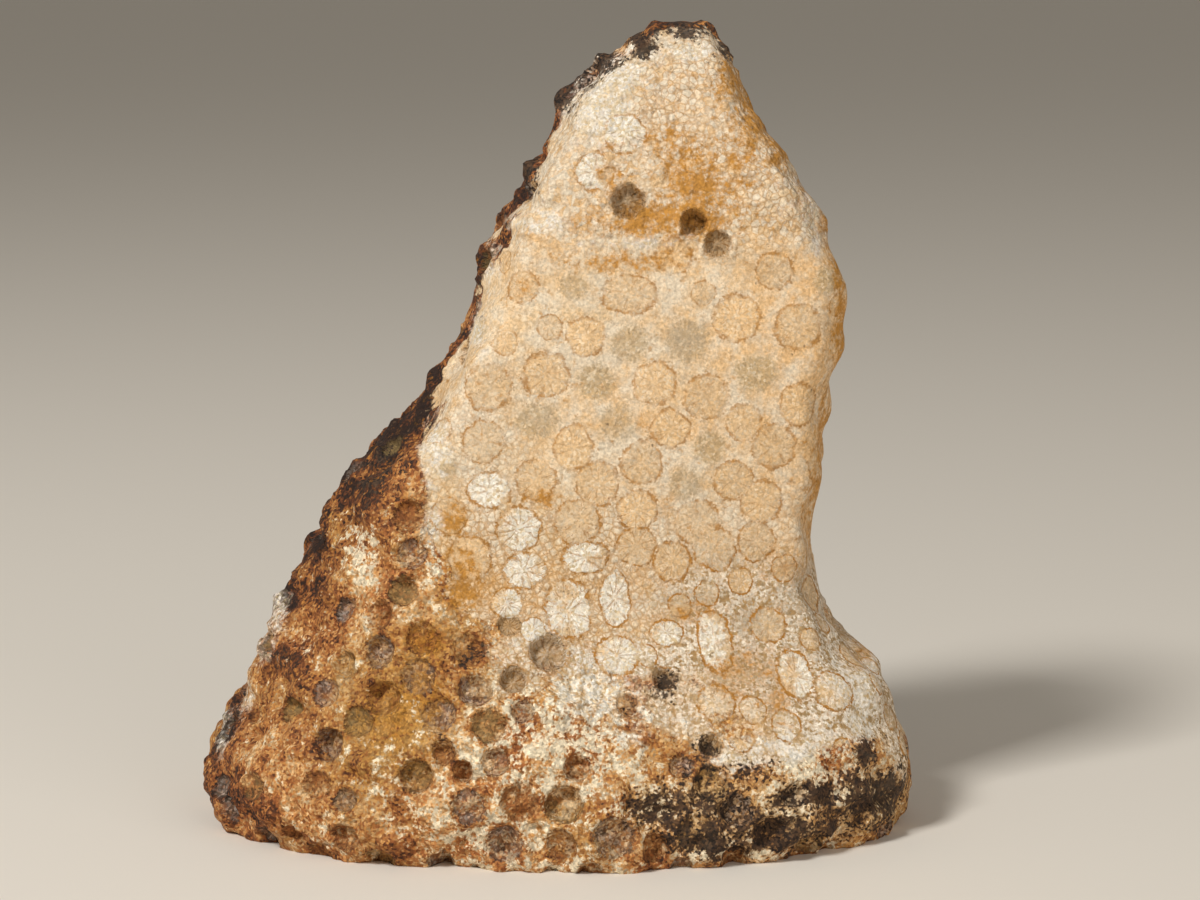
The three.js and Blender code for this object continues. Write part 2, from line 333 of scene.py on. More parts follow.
    def angle_on_front(self, x: np.ndarray, z: np.ndarray) -> np.ndarray:
        """Finds the angles at which the front reaches places across, by halving.

        Args:
            x: Places across.
            z: Heights.

        Returns:
            The angles.
        """
        widest, halvings = math.pi * 0.55, 40
        low, high = np.full(len(x), -widest), np.full(len(x), widest)
        for _ in range(halvings):
            middle = (low + high) / 2.0
            short = self.surface(middle, z)[0][:, 0] < x
            low, high = np.where(short, middle, low), np.where(short, high, middle)
        return (low + high) / 2.0


class Habit(Enum):
    """What a corallite looks like today; each value is its tone, from grey at 0 to white at 1."""

    GREY = 0.0
    BUFF = 0.5
    PALE = 0.75
    WHITE = 1.0
    CUP = 0.3
    HOLE = 0.2


# Place across, height and width of a round corallite, and how tall it is where it isn't round.
CupRow = tuple[float, float, float]
Row = tuple[float, float, float, float]

# The places below were read from the front, in millimetres.
SEEN_CUPS: tuple[CupRow, ...] = (
    (-33, 24, 5.6), (-29.5, 35.5, 5.9), (-22, 38, 5.9), (-22.5, 31.8, 6.2), (-28.5, 28, 6.2),
    (-35.5, 32.5, 5.2), (-38.5, 27.5, 5.2), (-29.5, 41.5, 5.4), (-25.5, 45.5, 5.6), (-24, 51.5, 5.2),
    (-24.5, 57.5, 5.8), (-38, 19.5, 5.8), (-40, 13, 5.2), (-51.5, 11, 5.2), (-56.5, 5, 4.8),
    (-44.5, 4, 4), (-35, 11.5, 4.4), (-35, 4.8, 5.2), (-23, 16, 5.9), (-19, 25.5, 6.2),
    (-18.3, 20.2, 4.6), (-45, 23.5, 4.8), (-35.5, 41, 4.6), (-14.3, 36, 5.9), (-13, 30, 6.2),
    (-6.7, 31, 4.9), (-10.7, 24.5, 6.2), (-5.2, 26.6, 4.4), (-1, 35, 6.8), (-7.5, 39.5, 4.2),
    (-9.6, 18.9, 5), (-15, 17.2, 3.7), (-14, 11.5, 6.2), (-5.7, 12.2, 6.8), (1.8, 11.8, 6.8),
    (-8.3, 5, 6.8), (1.2, 5, 5.8), (10.3, 6.5, 7.6), (17, 4, 5.2), (24, 6.4, 6.9), (31, 9.6, 5.8),
    (36.5, 5.5, 6.2), (26.5, 14, 6.2), (21.5, 17, 4.4), (4, 17.6, 4.8), (40.8, 11.4, 4.8),
    (52.5, 6.6, 5.2), (26.6, 19.8, 4), (18.6, 30, 4.4), (12.3, 26.6, 4.4))
FOOT_CUPS: tuple[CupRow, ...] = (
    (-49.5, 1.4, 5), (-39.5, 1, 4.6), (-29, 1.2, 5.2), (-19, 0.8, 4.8), (6, 0.6, 4.4), (21.5, 0.4, 4),
    (30.5, 1.4, 5), (43.5, 2.2, 5.4), (57.5, 1.6, 4.4))
OPEN_CUPS: tuple[CupRow, ...] = (
    (12.5, 110, 6.2), (23.6, 106.4, 4.8), (27.8, 102.6, 4.8))
WHITE_ROSETTES: tuple[Row, ...] = (
    (-11, 61.5, 7.3, 6), (-6, 55, 7.4, 7.4), (-5, 48, 7.4, 6), (5.3, 49.8, 7.6, 5.6),
    (2.3, 41.2, 8, 10.5), (10.3, 42.8, 5, 9.6), (10.7, 33.8, 7.4, 7), (19.2, 37, 5.6, 4.4),
    (27.5, 35.4, 5.8, 11.5), (41.3, 29.4, 6, 9), (-3.5, 38.4, 4.2, 4.4), (-8, 42.8, 5.2, 5.2),
    (12, 121.3, 7, 7), (7, 115, 6.4, 6.4))
PALE_ROSETTES: tuple[Row, ...] = (
    (27.6, 25.8, 6.3, 7), (33.8, 24.6, 4.6, 5), (39.5, 22, 5, 5.6), (48, 26.8, 7, 7),
    (15.8, 33.6, 3.6, 4))
BUFF_ROSETTES: tuple[Row, ...] = (
    (3.3, 68.4, 6.4, 7.4), (-3, 63, 6.6, 6.6), (-12, 69.6, 7, 7), (17.2, 79.1, 7, 7),
    (26, 76.7, 7.4, 7.4), (19.8, 71.3, 6.4, 6.4), (32.4, 72.3, 6, 6), (37.6, 68, 7.4, 7.4),
    (42.2, 75.1, 7, 7), (41.6, 88.7, 7.6, 7.6), (15, 65.6, 7, 7), (7.4, 62.2, 7.4, 7.4),
    (4, 55.8, 7.6, 7.6), (14.2, 57.6, 6.6, 6.6), (30.7, 62.2, 6.6, 6.6), (24.4, 55.2, 7.4, 7.4),
    (35.6, 58.4, 7, 7), (14.1, 51.4, 6.6, 6.6), (27.5, 50.4, 7, 7), (20.2, 48.6, 6.4, 6.4),
    (34.7, 51.4, 6.4, 6.4), (-14.3, 50.4, 7.4, 7.4), (-17.8, 57.4, 6, 6), (-11.2, 78.7, 7.6, 7.6),
    (-1.4, 80.7, 7.6, 7.6), (12.8, 94.3, 8.8, 6.4), (31.1, 90.1, 7.6, 7.6), (-5.4, 95.5, 5.2, 5.2))
GREY_ROSETTES: tuple[Row, ...] = (
    (22.6, 86.5, 8.4, 8.4), (7.1, 79.3, 7.4, 7.4), (-2.8, 73.1, 8.8, 7), (10.7, 72.5, 7.6, 7.6),
    (26.5, 68, 6.6, 6.6), (22.4, 62, 6.6, 6.6), (34.5, 80.7, 8.8, 7.4), (12.8, 85.9, 7.4, 7.4))


@dataclass
class Colony:
    """All the corallites, each with its place, its own directions and its habit, in millimetres."""

    form: StoneForm
    cup_depth: float = 1.7
    hole_depth: float = 2.2
    cup_gap: float = 0.1
    rosette_gap: float = 0.4
    rosette_overlap: float = 2.0
    hidden_spacing: float = 10.4
    hidden_smallest: float = 4.6
    hidden_largest: float = 6.6
    worn_left: float = -72.0
    worn_right: float = 97.0
    hidden_top: float = 132.0
    hidden_wander: float = 0.24
    hidden_radius: float = 50.0
    filler_spacing: float = 5.2
    filler_size: float = 6.4
    # Left and lower edge of the worn front, as heights and places across.
    worn_edge: Curve = Curve((
        (16.4, 51.5), (18.8, 34), (23.8, 20.7), (29, 7.5), (31, -2.5), (37.2, -12.5), (43.8, -17.7),
        (50.2, -19.3), (59.8, -21.2), (66.4, -22.5), (74.5, -21), (83.5, -16.8), (92, -12.5),
        (105.5, -8.5), (118, -1), (125, 4), (132, 10.5), (137, 18), (140, 30)))
    worn_foot: float = 13.0
    worn_radius: float = 20.0
    filler_top: float = 101.0
    grey_above: float = 60.0
    batch: int = 4096
    centre: np.ndarray = field(init=False)
    side: np.ndarray = field(init=False)
    over: np.ndarray = field(init=False)
    half: np.ndarray = field(init=False)
    depth: np.ndarray = field(init=False)
    tone: np.ndarray = field(init=False)

    def __post_init__(self) -> None:
        """Places every corallite once."""
        kept: list[tuple[np.ndarray, float, float, float, float, Habit, float]] = []
        self._keep(kept, self._rows(OPEN_CUPS, Habit.HOLE, self.hole_depth), self.cup_gap)
        self._keep(kept, self._rows(SEEN_CUPS, Habit.CUP, self.cup_depth), self.cup_gap)
        self._keep(kept, self._hidden_cups(), self.cup_gap)
        self._keep(kept, self._rows(FOOT_CUPS, Habit.CUP, self.cup_depth), self.cup_gap, on_base=True)
        for rows, habit in ((WHITE_ROSETTES, Habit.WHITE), (PALE_ROSETTES, Habit.PALE),
                            (BUFF_ROSETTES, Habit.BUFF), (GREY_ROSETTES, Habit.GREY)):
            self._keep(kept, self._rows(rows, habit, 0.0), -self.rosette_overlap)
        self._keep(kept, self._fillers(), self.rosette_gap)
        self.centre = np.array([row[0] for row in kept])
        theta, z = np.array([row[1] for row in kept]), np.array([row[2] for row in kept])
        self.side, self.over, _ = self.form.tangents(theta, z)
        self.half = np.array([[row[3], row[4]] for row in kept])
        self.tone = np.array([row[5].value for row in kept])
        self.depth = np.array([row[6] for row in kept])

    def _rows(self, rows: tuple[tuple[float, ...], ...], habit: Habit,
              depth: float) -> list[tuple[Any, ...]]:
        """Finds the angle of corallites that are given by their place seen from the front.

        Args:
            rows: Place across, height, width and, where it isn't round, how tall each is.
            habit: What they look like.
            depth: How deep they are.

        Returns:
            Angle, height, half width, half of how tall, habit and depth of each.
        """
        x, z = np.array([row[0] for row in rows], float), np.array([row[1] for row in rows], float)
        theta = self.form.angle_on_front(x, z)
        return [(a, h, row[2] / 2.0, row[-1] / 2.0, habit, depth) for a, h, row in zip(theta, z, rows)]

    def _hidden_cups(self) -> list[tuple[Any, ...]]:
        """Winds cups round the sides and the back, each a little off its even place.

        Returns:
            Angle, height, half width, half of how tall, habit and depth of each.
        """
        theta, z = self.form.wind_round(self.hidden_spacing)
        index = np.arange(len(theta))
        beside = (theta < math.radians(self.worn_left)) | (theta > math.radians(self.worn_right))
        keep = beside & (z < self.hidden_top)
        share = 0.5 + 0.5 * np.sin(index * 2.4)
        size = self.hidden_smallest + (self.hidden_largest - self.hidden_smallest) * share
        step = self.hidden_wander * self.hidden_spacing
        theta = theta + step * np.sin(index * 1.7) / self.hidden_radius
        z = z + step * np.sin(index * 3.1)
        half = size / 2.0
        return [(theta[i], z[i], half[i], half[i], Habit.CUP, self.cup_depth) for i in index[keep]]

    def _fillers(self) -> list[tuple[Any, ...]]:
        """Fills what is left of the worn front with faint rosettes.

        Returns:
            Angle, height, half width, half of how tall, habit and depth of each.
        """
        theta, z = self.form.wind_round(self.filler_spacing)
        inside = self.inside_worn(self.form.surface(theta, z)[0], theta) > 0.5
        rows = []
        for i, (angle, height) in enumerate(zip(theta, z)):
            size = self.filler_size * (0.8 + 0.2 * math.sin(i * 2.1)) / 2.0
            if inside[i] and height < self.filler_top:
                habit = Habit.GREY if i % 3 == 0 and height > self.grey_above else Habit.BUFF
                rows.append((angle, height, size, size, habit, 0.0))
        return rows

    def _keep(self, kept: list[tuple[Any, ...]], rows: list[tuple[Any, ...]], gap: float,
              on_base: bool = False) -> None:
        """Adds the corallites that are clear of those already kept.

        Args:
            kept: Those kept so far, which grows.
            rows: Those to add.
            gap: Least distance between two rims.
            on_base: Whether cups may run into the base.
        """
        for angle, height, half_width, half_height, habit, depth in rows:
            place = self.form.surface(np.array([angle]), np.array([height]))[0][0]
            reach = (half_width + half_height) / 2.0
            if depth and not on_base and height <= reach + gap:
                continue
            away = [np.linalg.norm(place - row[0]) for row in kept]
            if all(far > reach + (row[3] + row[4]) / 2.0 + gap for far, row in zip(away, kept)):
                kept.append((place, angle, height, half_width, half_height, habit, depth))

    def inside_worn(self, places: np.ndarray, theta: np.ndarray) -> np.ndarray:
        """Measures how far each place lies inside the edge of the worn front, in millimetres.

        Args:
            places: Places on the stone.
            theta: Their angles.

        Returns:
            Distances, positive on the worn front and negative in the rind.
        """
        x, z = places[..., 0], places[..., 2]
        slope = self.worn_edge.at(z + 0.5) - self.worn_edge.at(z - 0.5)
        from_left = (x - self.worn_edge.at(z)) / np.sqrt(1.0 + slope * slope)
        corner = -0.1 + 0.28 * smooth(99.0, 106.0, z)
        round_back = (np.cos(theta) - corner) * self.worn_radius
        low = (z - self.worn_foot) * 1.2
        return np.minimum(from_left, np.minimum(round_back, low))

    def nearest(self, places: np.ndarray) -> np.ndarray:
        """Finds the corallite whose rim each place is nearest to.

        Args:
            places: Places on the stone.

        Returns:
            The index of one corallite for each place.
        """
        reach = self.half.mean(axis=1)
        found = np.empty(len(places), dtype=np.int64)
        for start in range(0, len(places), self.batch):
            some = slice(start, start + self.batch)
            away = np.linalg.norm(places[some, None, :] - self.centre[None, :, :], axis=-1)
            found[some] = np.argmin(away - reach, axis=1)
        return found

    def own_place(self, places: np.ndarray, index: np.ndarray) -> np.ndarray:
        """Gives places in their corallite's own directions, with its rim at a distance of 1.

        Args:
            places: Places on the stone.
            index: The corallite of each.

        Returns:
            Place across and place up in the corallite, as N by 2.
        """
        offset = places - self.centre[index]
        across = (offset * self.side[index]).sum(axis=1) / self.half[index, 0]
        up = (offset * self.over[index]).sum(axis=1) / self.half[index, 1]
        return np.stack([across, up], axis=1)


@dataclass(frozen=True)
class Spot:
    """A soft stain seen from the front: its middle, half width, half height and strength."""

    x: float
    z: float
    half_width: float
    half_height: float
    strength: float = 1.0


SOOT: tuple[Spot, ...] = (
    Spot(17, 11, 5.5, 4, 0.85), Spot(26.5, 12, 6.5, 4.5, 0.7), Spot(25, 5.5, 6.5, 3.5, 0.85),
    Spot(36.5, 7, 5, 3.5, 0.8), Spot(41, 11.5, 5, 2.5, 0.75), Spot(49, 9.5, 6.5, 4, 0.7),
    Spot(56, 9.5, 4.5, 5, 0.65), Spot(53, 17, 2.4, 2.4, 0.9), Spot(34, 16, 6.5, 1.6, 0.55),
    Spot(26, 19.7, 2.3, 1.6, 0.8), Spot(18.8, 29.5, 2.4, 2.6, 0.8), Spot(12.7, 26.4, 2.6, 2, 0.65),
    Spot(-31, 63, 5, 4.5, 0.55), Spot(-46.5, 30.5, 3, 2.4, 0.65), Spot(-25.5, 64.5, 2.4, 3.4, 0.55),
    Spot(-14.2, 35.5, 2.8, 2.8, 0.6), Spot(-18, 21.5, 2.4, 2, 0.5), Spot(15, 135.8, 2.6, 2.2),
    Spot(8.5, 133, 3, 2.4), Spot(1.2, 125.6, 2.2, 2.4), Spot(-4.2, 114, 1.6, 3), Spot(45, 4, 8, 3, 0.6),
    Spot(33, 3, 5, 2.6, 0.6), Spot(58, 6, 4, 4.5, 0.6), Spot(23, 138.4, 4, 1.6),
    Spot(30, 136, 2.4, 3, 0.9), Spot(5, 130, 2, 2), Spot(-1.8, 120.5, 1.2, 3, 0.6))
OCHRE: tuple[Spot, ...] = (
    Spot(23.5, 112.5, 3.8, 4.6), Spot(15.6, 107, 4.6, 2.4), Spot(24.5, 106.8, 4.2, 2.6, 0.9),
    Spot(30.5, 130.8, 3.2, 3, 0.7), Spot(34.5, 124.5, 2.4, 5, 0.9), Spot(38.5, 119, 1.5, 4, 0.9),
    Spot(43, 112, 1.4, 4, 0.85), Spot(46.8, 105.5, 1.4, 4, 0.85), Spot(48.8, 97.5, 1.3, 5, 0.7),
    Spot(13, 99.8, 9, 1.5, 0.65), Spot(49.5, 86.5, 1.4, 7, 0.9), Spot(46.8, 68.5, 1.6, 8, 0.8),
    Spot(45, 56.5, 1.8, 7, 0.6), Spot(-2, 60.2, 2.6, 1, 0.9), Spot(-5.3, 95.5, 2.6, 2, 0.45),
    Spot(-15, 45, 3.8, 3, 0.75), Spot(-21, 37.7, 4.4, 3.8, 0.65), Spot(-25.8, 24.7, 6, 6, 0.6),
    Spot(-17.2, 56.5, 2.6, 2.4, 0.8), Spot(-15.5, 50, 2.6, 2, 0.75), Spot(-21.7, 29, 3.6, 3.4, 0.5),
    Spot(55, 29.3, 3.4, 0.9, 0.8), Spot(33.8, 31.2, 5, 3, 0.5), Spot(22.7, 40, 5, 1.6, 0.55),
    Spot(40, 46, 3.6, 1.8, 0.4), Spot(29, 29, 3, 4, 0.4), Spot(38, 25.5, 2, 3, 0.5),
    Spot(20, 119, 4, 4, 0.4), Spot(28, 114, 3, 6, 0.35), Spot(4.5, 106.5, 5, 2, 0.45),
    Spot(32, 117, 3, 8, 0.4), Spot(10, 114, 3, 3, 0.45), Spot(9.5, 119.5, 6, 2, 0.35),
    Spot(17, 103, 6, 1.6, 0.35))
CHALK: tuple[Spot, ...] = (
    Spot(-19.5, 68, 3, 5, 0.9), Spot(-20.5, 56, 2, 6, 0.75), Spot(-2, 37, 5, 3.2, 0.9),
    Spot(15, 36, 6, 2.4, 0.6), Spot(5, 33, 8, 2.6, 0.65), Spot(7.4, 28, 8, 4.4, 0.95),
    Spot(14, 21.5, 4.2, 2, 0.6), Spot(22.5, 24.5, 3.4, 3, 0.5), Spot(30.7, 17.8, 8, 2.6, 0.65),
    Spot(41, 19.4, 7.6, 2.4, 0.65), Spot(53.5, 24.4, 3.8, 7, 0.7), Spot(49, 28, 4.8, 3.6, 0.5),
    Spot(7.4, 124.3, 5.4, 5.4, 0.9), Spot(12.5, 130.8, 6, 3.6, 0.9), Spot(22.7, 135, 6, 1.8, 0.9),
    Spot(0.6, 112.7, 3.4, 4.6, 0.55), Spot(-2, 107.2, 4.8, 2.4, 0.55), Spot(41, 111, 4.6, 3.6, 0.6),
    Spot(30, 104.4, 6.6, 2.4, 0.35), Spot(14, 103, 10, 1.4, 0.7), Spot(-3, 105.8, 6, 1.2, 0.8),
    Spot(-10.8, 96.8, 1.8, 6.2, 0.6), Spot(-13.5, 87, 1.8, 4.2, 0.7), Spot(-48.5, 39, 2, 5.2, 0.85),
    Spot(-51.5, 32, 2, 3.4, 0.85), Spot(-55, 23, 2, 4.4, 0.8), Spot(-58.5, 15.5, 1.8, 3.6, 0.75),
    Spot(45, 104, 4, 5, 0.5))
FLECK: tuple[Spot, ...] = (
    Spot(-34, 51.5, 4.8, 6), Spot(-44, 33.7, 3.4, 1.6, 0.7), Spot(-14, 17.7, 8, 4, 0.6),
    Spot(1, 22, 10, 6.6, 0.9), Spot(-12.5, 4.5, 11, 4.5, 0.7), Spot(-22, 12.6, 8, 5, 0.35),
    Spot(5, 10, 10, 7, 0.65), Spot(-2.6, 28, 6.6, 5, 0.7), Spot(42.5, 15.4, 6.6, 4, 0.75),
    Spot(24, 2.3, 5, 1.4, 0.9), Spot(-21, 50, 3.4, 3.4, 0.7), Spot(50, 13, 4, 3, 0.5),
    Spot(0, 1, 12, 1.6, 0.7), Spot(40, 1.5, 10, 1.6, 0.6), Spot(-40, 2, 6, 2, 0.4))
DARK_BROWN: tuple[Spot, ...] = (
    Spot(-29, 67.5, 5.2, 7, 0.95), Spot(-36.5, 59.5, 5, 6, 0.95), Spot(-41.5, 51, 4, 5, 0.8),
    Spot(-15, 95, 4, 10, 0.8), Spot(-45.5, 40, 4.2, 3.4, 0.65), Spot(-40.5, 43, 3.4, 2.6, 0.65),
    Spot(-46.5, 31, 5, 3.4, 0.75), Spot(-58, 15, 2.6, 7, 0.5), Spot(-54, 6, 5, 5, 0.65),
    Spot(-23, 75, 4, 6, 0.8), Spot(2, 126, 6, 10, 0.9), Spot(-5, 112, 3, 8, 0.8),
    Spot(22, 140, 14, 3, 0.9), Spot(-10, 104, 3, 6, 0.7))
PALE: tuple[Spot, ...] = (
    Spot(3, 85, 6.6, 4.2), Spot(0.6, 76.8, 3.4, 3.4, 0.7), Spot(16, 81.6, 3.4, 5, 0.7),
    Spot(9, 67.5, 5, 3.4, 0.7), Spot(18.4, 66.4, 5, 3.4, 0.7), Spot(30.3, 75.7, 3.4, 2.6, 0.7),
    Spot(-12.8, 76, 4, 5, 0.7), Spot(20, 94, 16, 4, 0.4), Spot(-12, 66, 5, 10, 0.5),
    Spot(18, 56, 17, 7, 0.6))
ASH: tuple[Spot, ...] = (
    Spot(34.3, 38.2, 4, 3), Spot(41.7, 41, 3.8, 4, 0.8), Spot(22.7, 42.2, 6.4, 1.4, 0.8),
    Spot(22.6, 86.7, 4, 3.6, 0.7), Spot(24.4, 48.4, 6.6, 2.6, 0.35), Spot(-2.8, 73.1, 3.6, 3, 0.5),
    Spot(36, 98, 5, 3, 0.4), Spot(44, 33, 5, 4, 0.5))


def stain(spots: tuple[Spot, ...], places: np.ndarray) -> np.ndarray:
    """Adds soft spots: each fades as exp(-0.7 d d), where d is 1 at its half width and half height.

    Args:
        spots: The spots.
        places: Places on the front of the stone.

    Returns:
        Strength of the stain at each place, from 0 to 1.
    """
    clear = np.ones(len(places))
    for spot in spots:
        away = ((places[:, 0] - spot.x) / spot.half_width) ** 2
        away += ((places[:, 2] - spot.z) / spot.half_height) ** 2
        clear *= 1.0 - spot.strength * np.exp(-STAIN_FADE * away)
    return 1.0 - clear


# Attributes of the mesh, and the three values that each one holds.
STORED: tuple[tuple[str, tuple[str, str, str]], ...] = (
    ("calyx", ("own_x", "own_y", "seed")), ("habit", ("tone", "cup", "strong")),
    ("cover", ("rind", "chalk", "soot")), ("marks", ("ochre", "sugar", "ladder")),
    ("crust", ("fleck", "dark", "warm")), ("wash", ("pale", "ash", "bleach")))

# Short names: Blender's kind of node, its inputs in turn, the output that is wanted, and its settings.
NODE_KINDS: dict[str, tuple[str, tuple[int | str, ...], int, dict[str, str]]] = {
    "blend": ("Mix", (0, 6, 7), 2, {"data_type": "RGBA"}),
    "between": ("Mix", (0, 2, 3), 0, {"data_type": "FLOAT"}),
    "range": ("MapRange", (0, 1, 2, 3, 4), 0, {}),
    "ease": ("MapRange", (0, 1, 2, 3, 4), 0, {"interpolation_type": "SMOOTHSTEP"}),
    "brighten": ("VectorMath", (0, "Scale"), 0, {"operation": "SCALE"}),
    "shift": ("VectorMath", (0, 1), 0, {"operation": "SUBTRACT"}),
    "bend": ("VectorMath", (0, 1, 2), 0, {"operation": "MULTIPLY_ADD"})}
NODE_KINDS.update({name: ("Math", (0, 1, 2), 0, {"operation": sum_kind}) for name, sum_kind in (
    ("scale_add", "MULTIPLY_ADD"), ("times", "MULTIPLY"), ("most", "MAXIMUM"), ("less", "SUBTRACT"),
    ("plus", "ADD"), ("root", "SQRT"), ("angle", "ARCTAN2"), ("unsigned", "ABSOLUTE"),
    ("fold", "PINGPONG"), ("whole", "FLOOR"))})


class NodeBench:
    """Puts nodes into one material."""

    def __init__(self, name: str) -> None:
        """Starts an empty material.

        Args:
            name: The material's name.
        """
        self.material = bpy.data.materials.new(name)
        self.material.use_nodes = True
        self.tree = self.material.node_tree
        self.tree.nodes.clear()

    def add(self, kind: str, *feeds: Any, out: int | str = 0, **named: Any) -> Any:
        """Adds a node with its settings and links.

        Args:
            kind: A name in NODE_KINDS, or Blender's own name for the node without the word ShaderNode.
            *feeds: What goes into its inputs in turn: a socket, a number or an sRGB hex colour.
            out: Name or number of the output that is wanted, where NODE_KINDS doesn't say it.
            **named: Properties of the node, and inputs by name.

        Returns:
            That output's socket, or None where the node has no outputs.
        """
        blender_kind, inputs, out, settings = NODE_KINDS.get(kind, (kind, range(len(feeds)), out, {}))
        node = self.tree.nodes.new("ShaderNode" + blender_kind)
        fed = dict(zip(inputs, feeds))
        for key, value in {**settings, **named}.items():
            if key in node.inputs:
                fed[key] = value
            else:
                setattr(node, key, value)
        for key, value in fed.items():
            if isinstance(value, bpy.types.NodeSocket):
                self.tree.links.new(value, node.inputs[key])
            else:
                node.inputs[key].default_value = linear(value) if isinstance(value, str) else value
        return node.outputs[out] if node.outputs else None


Sockets = dict[str, bpy.types.NodeSocket]


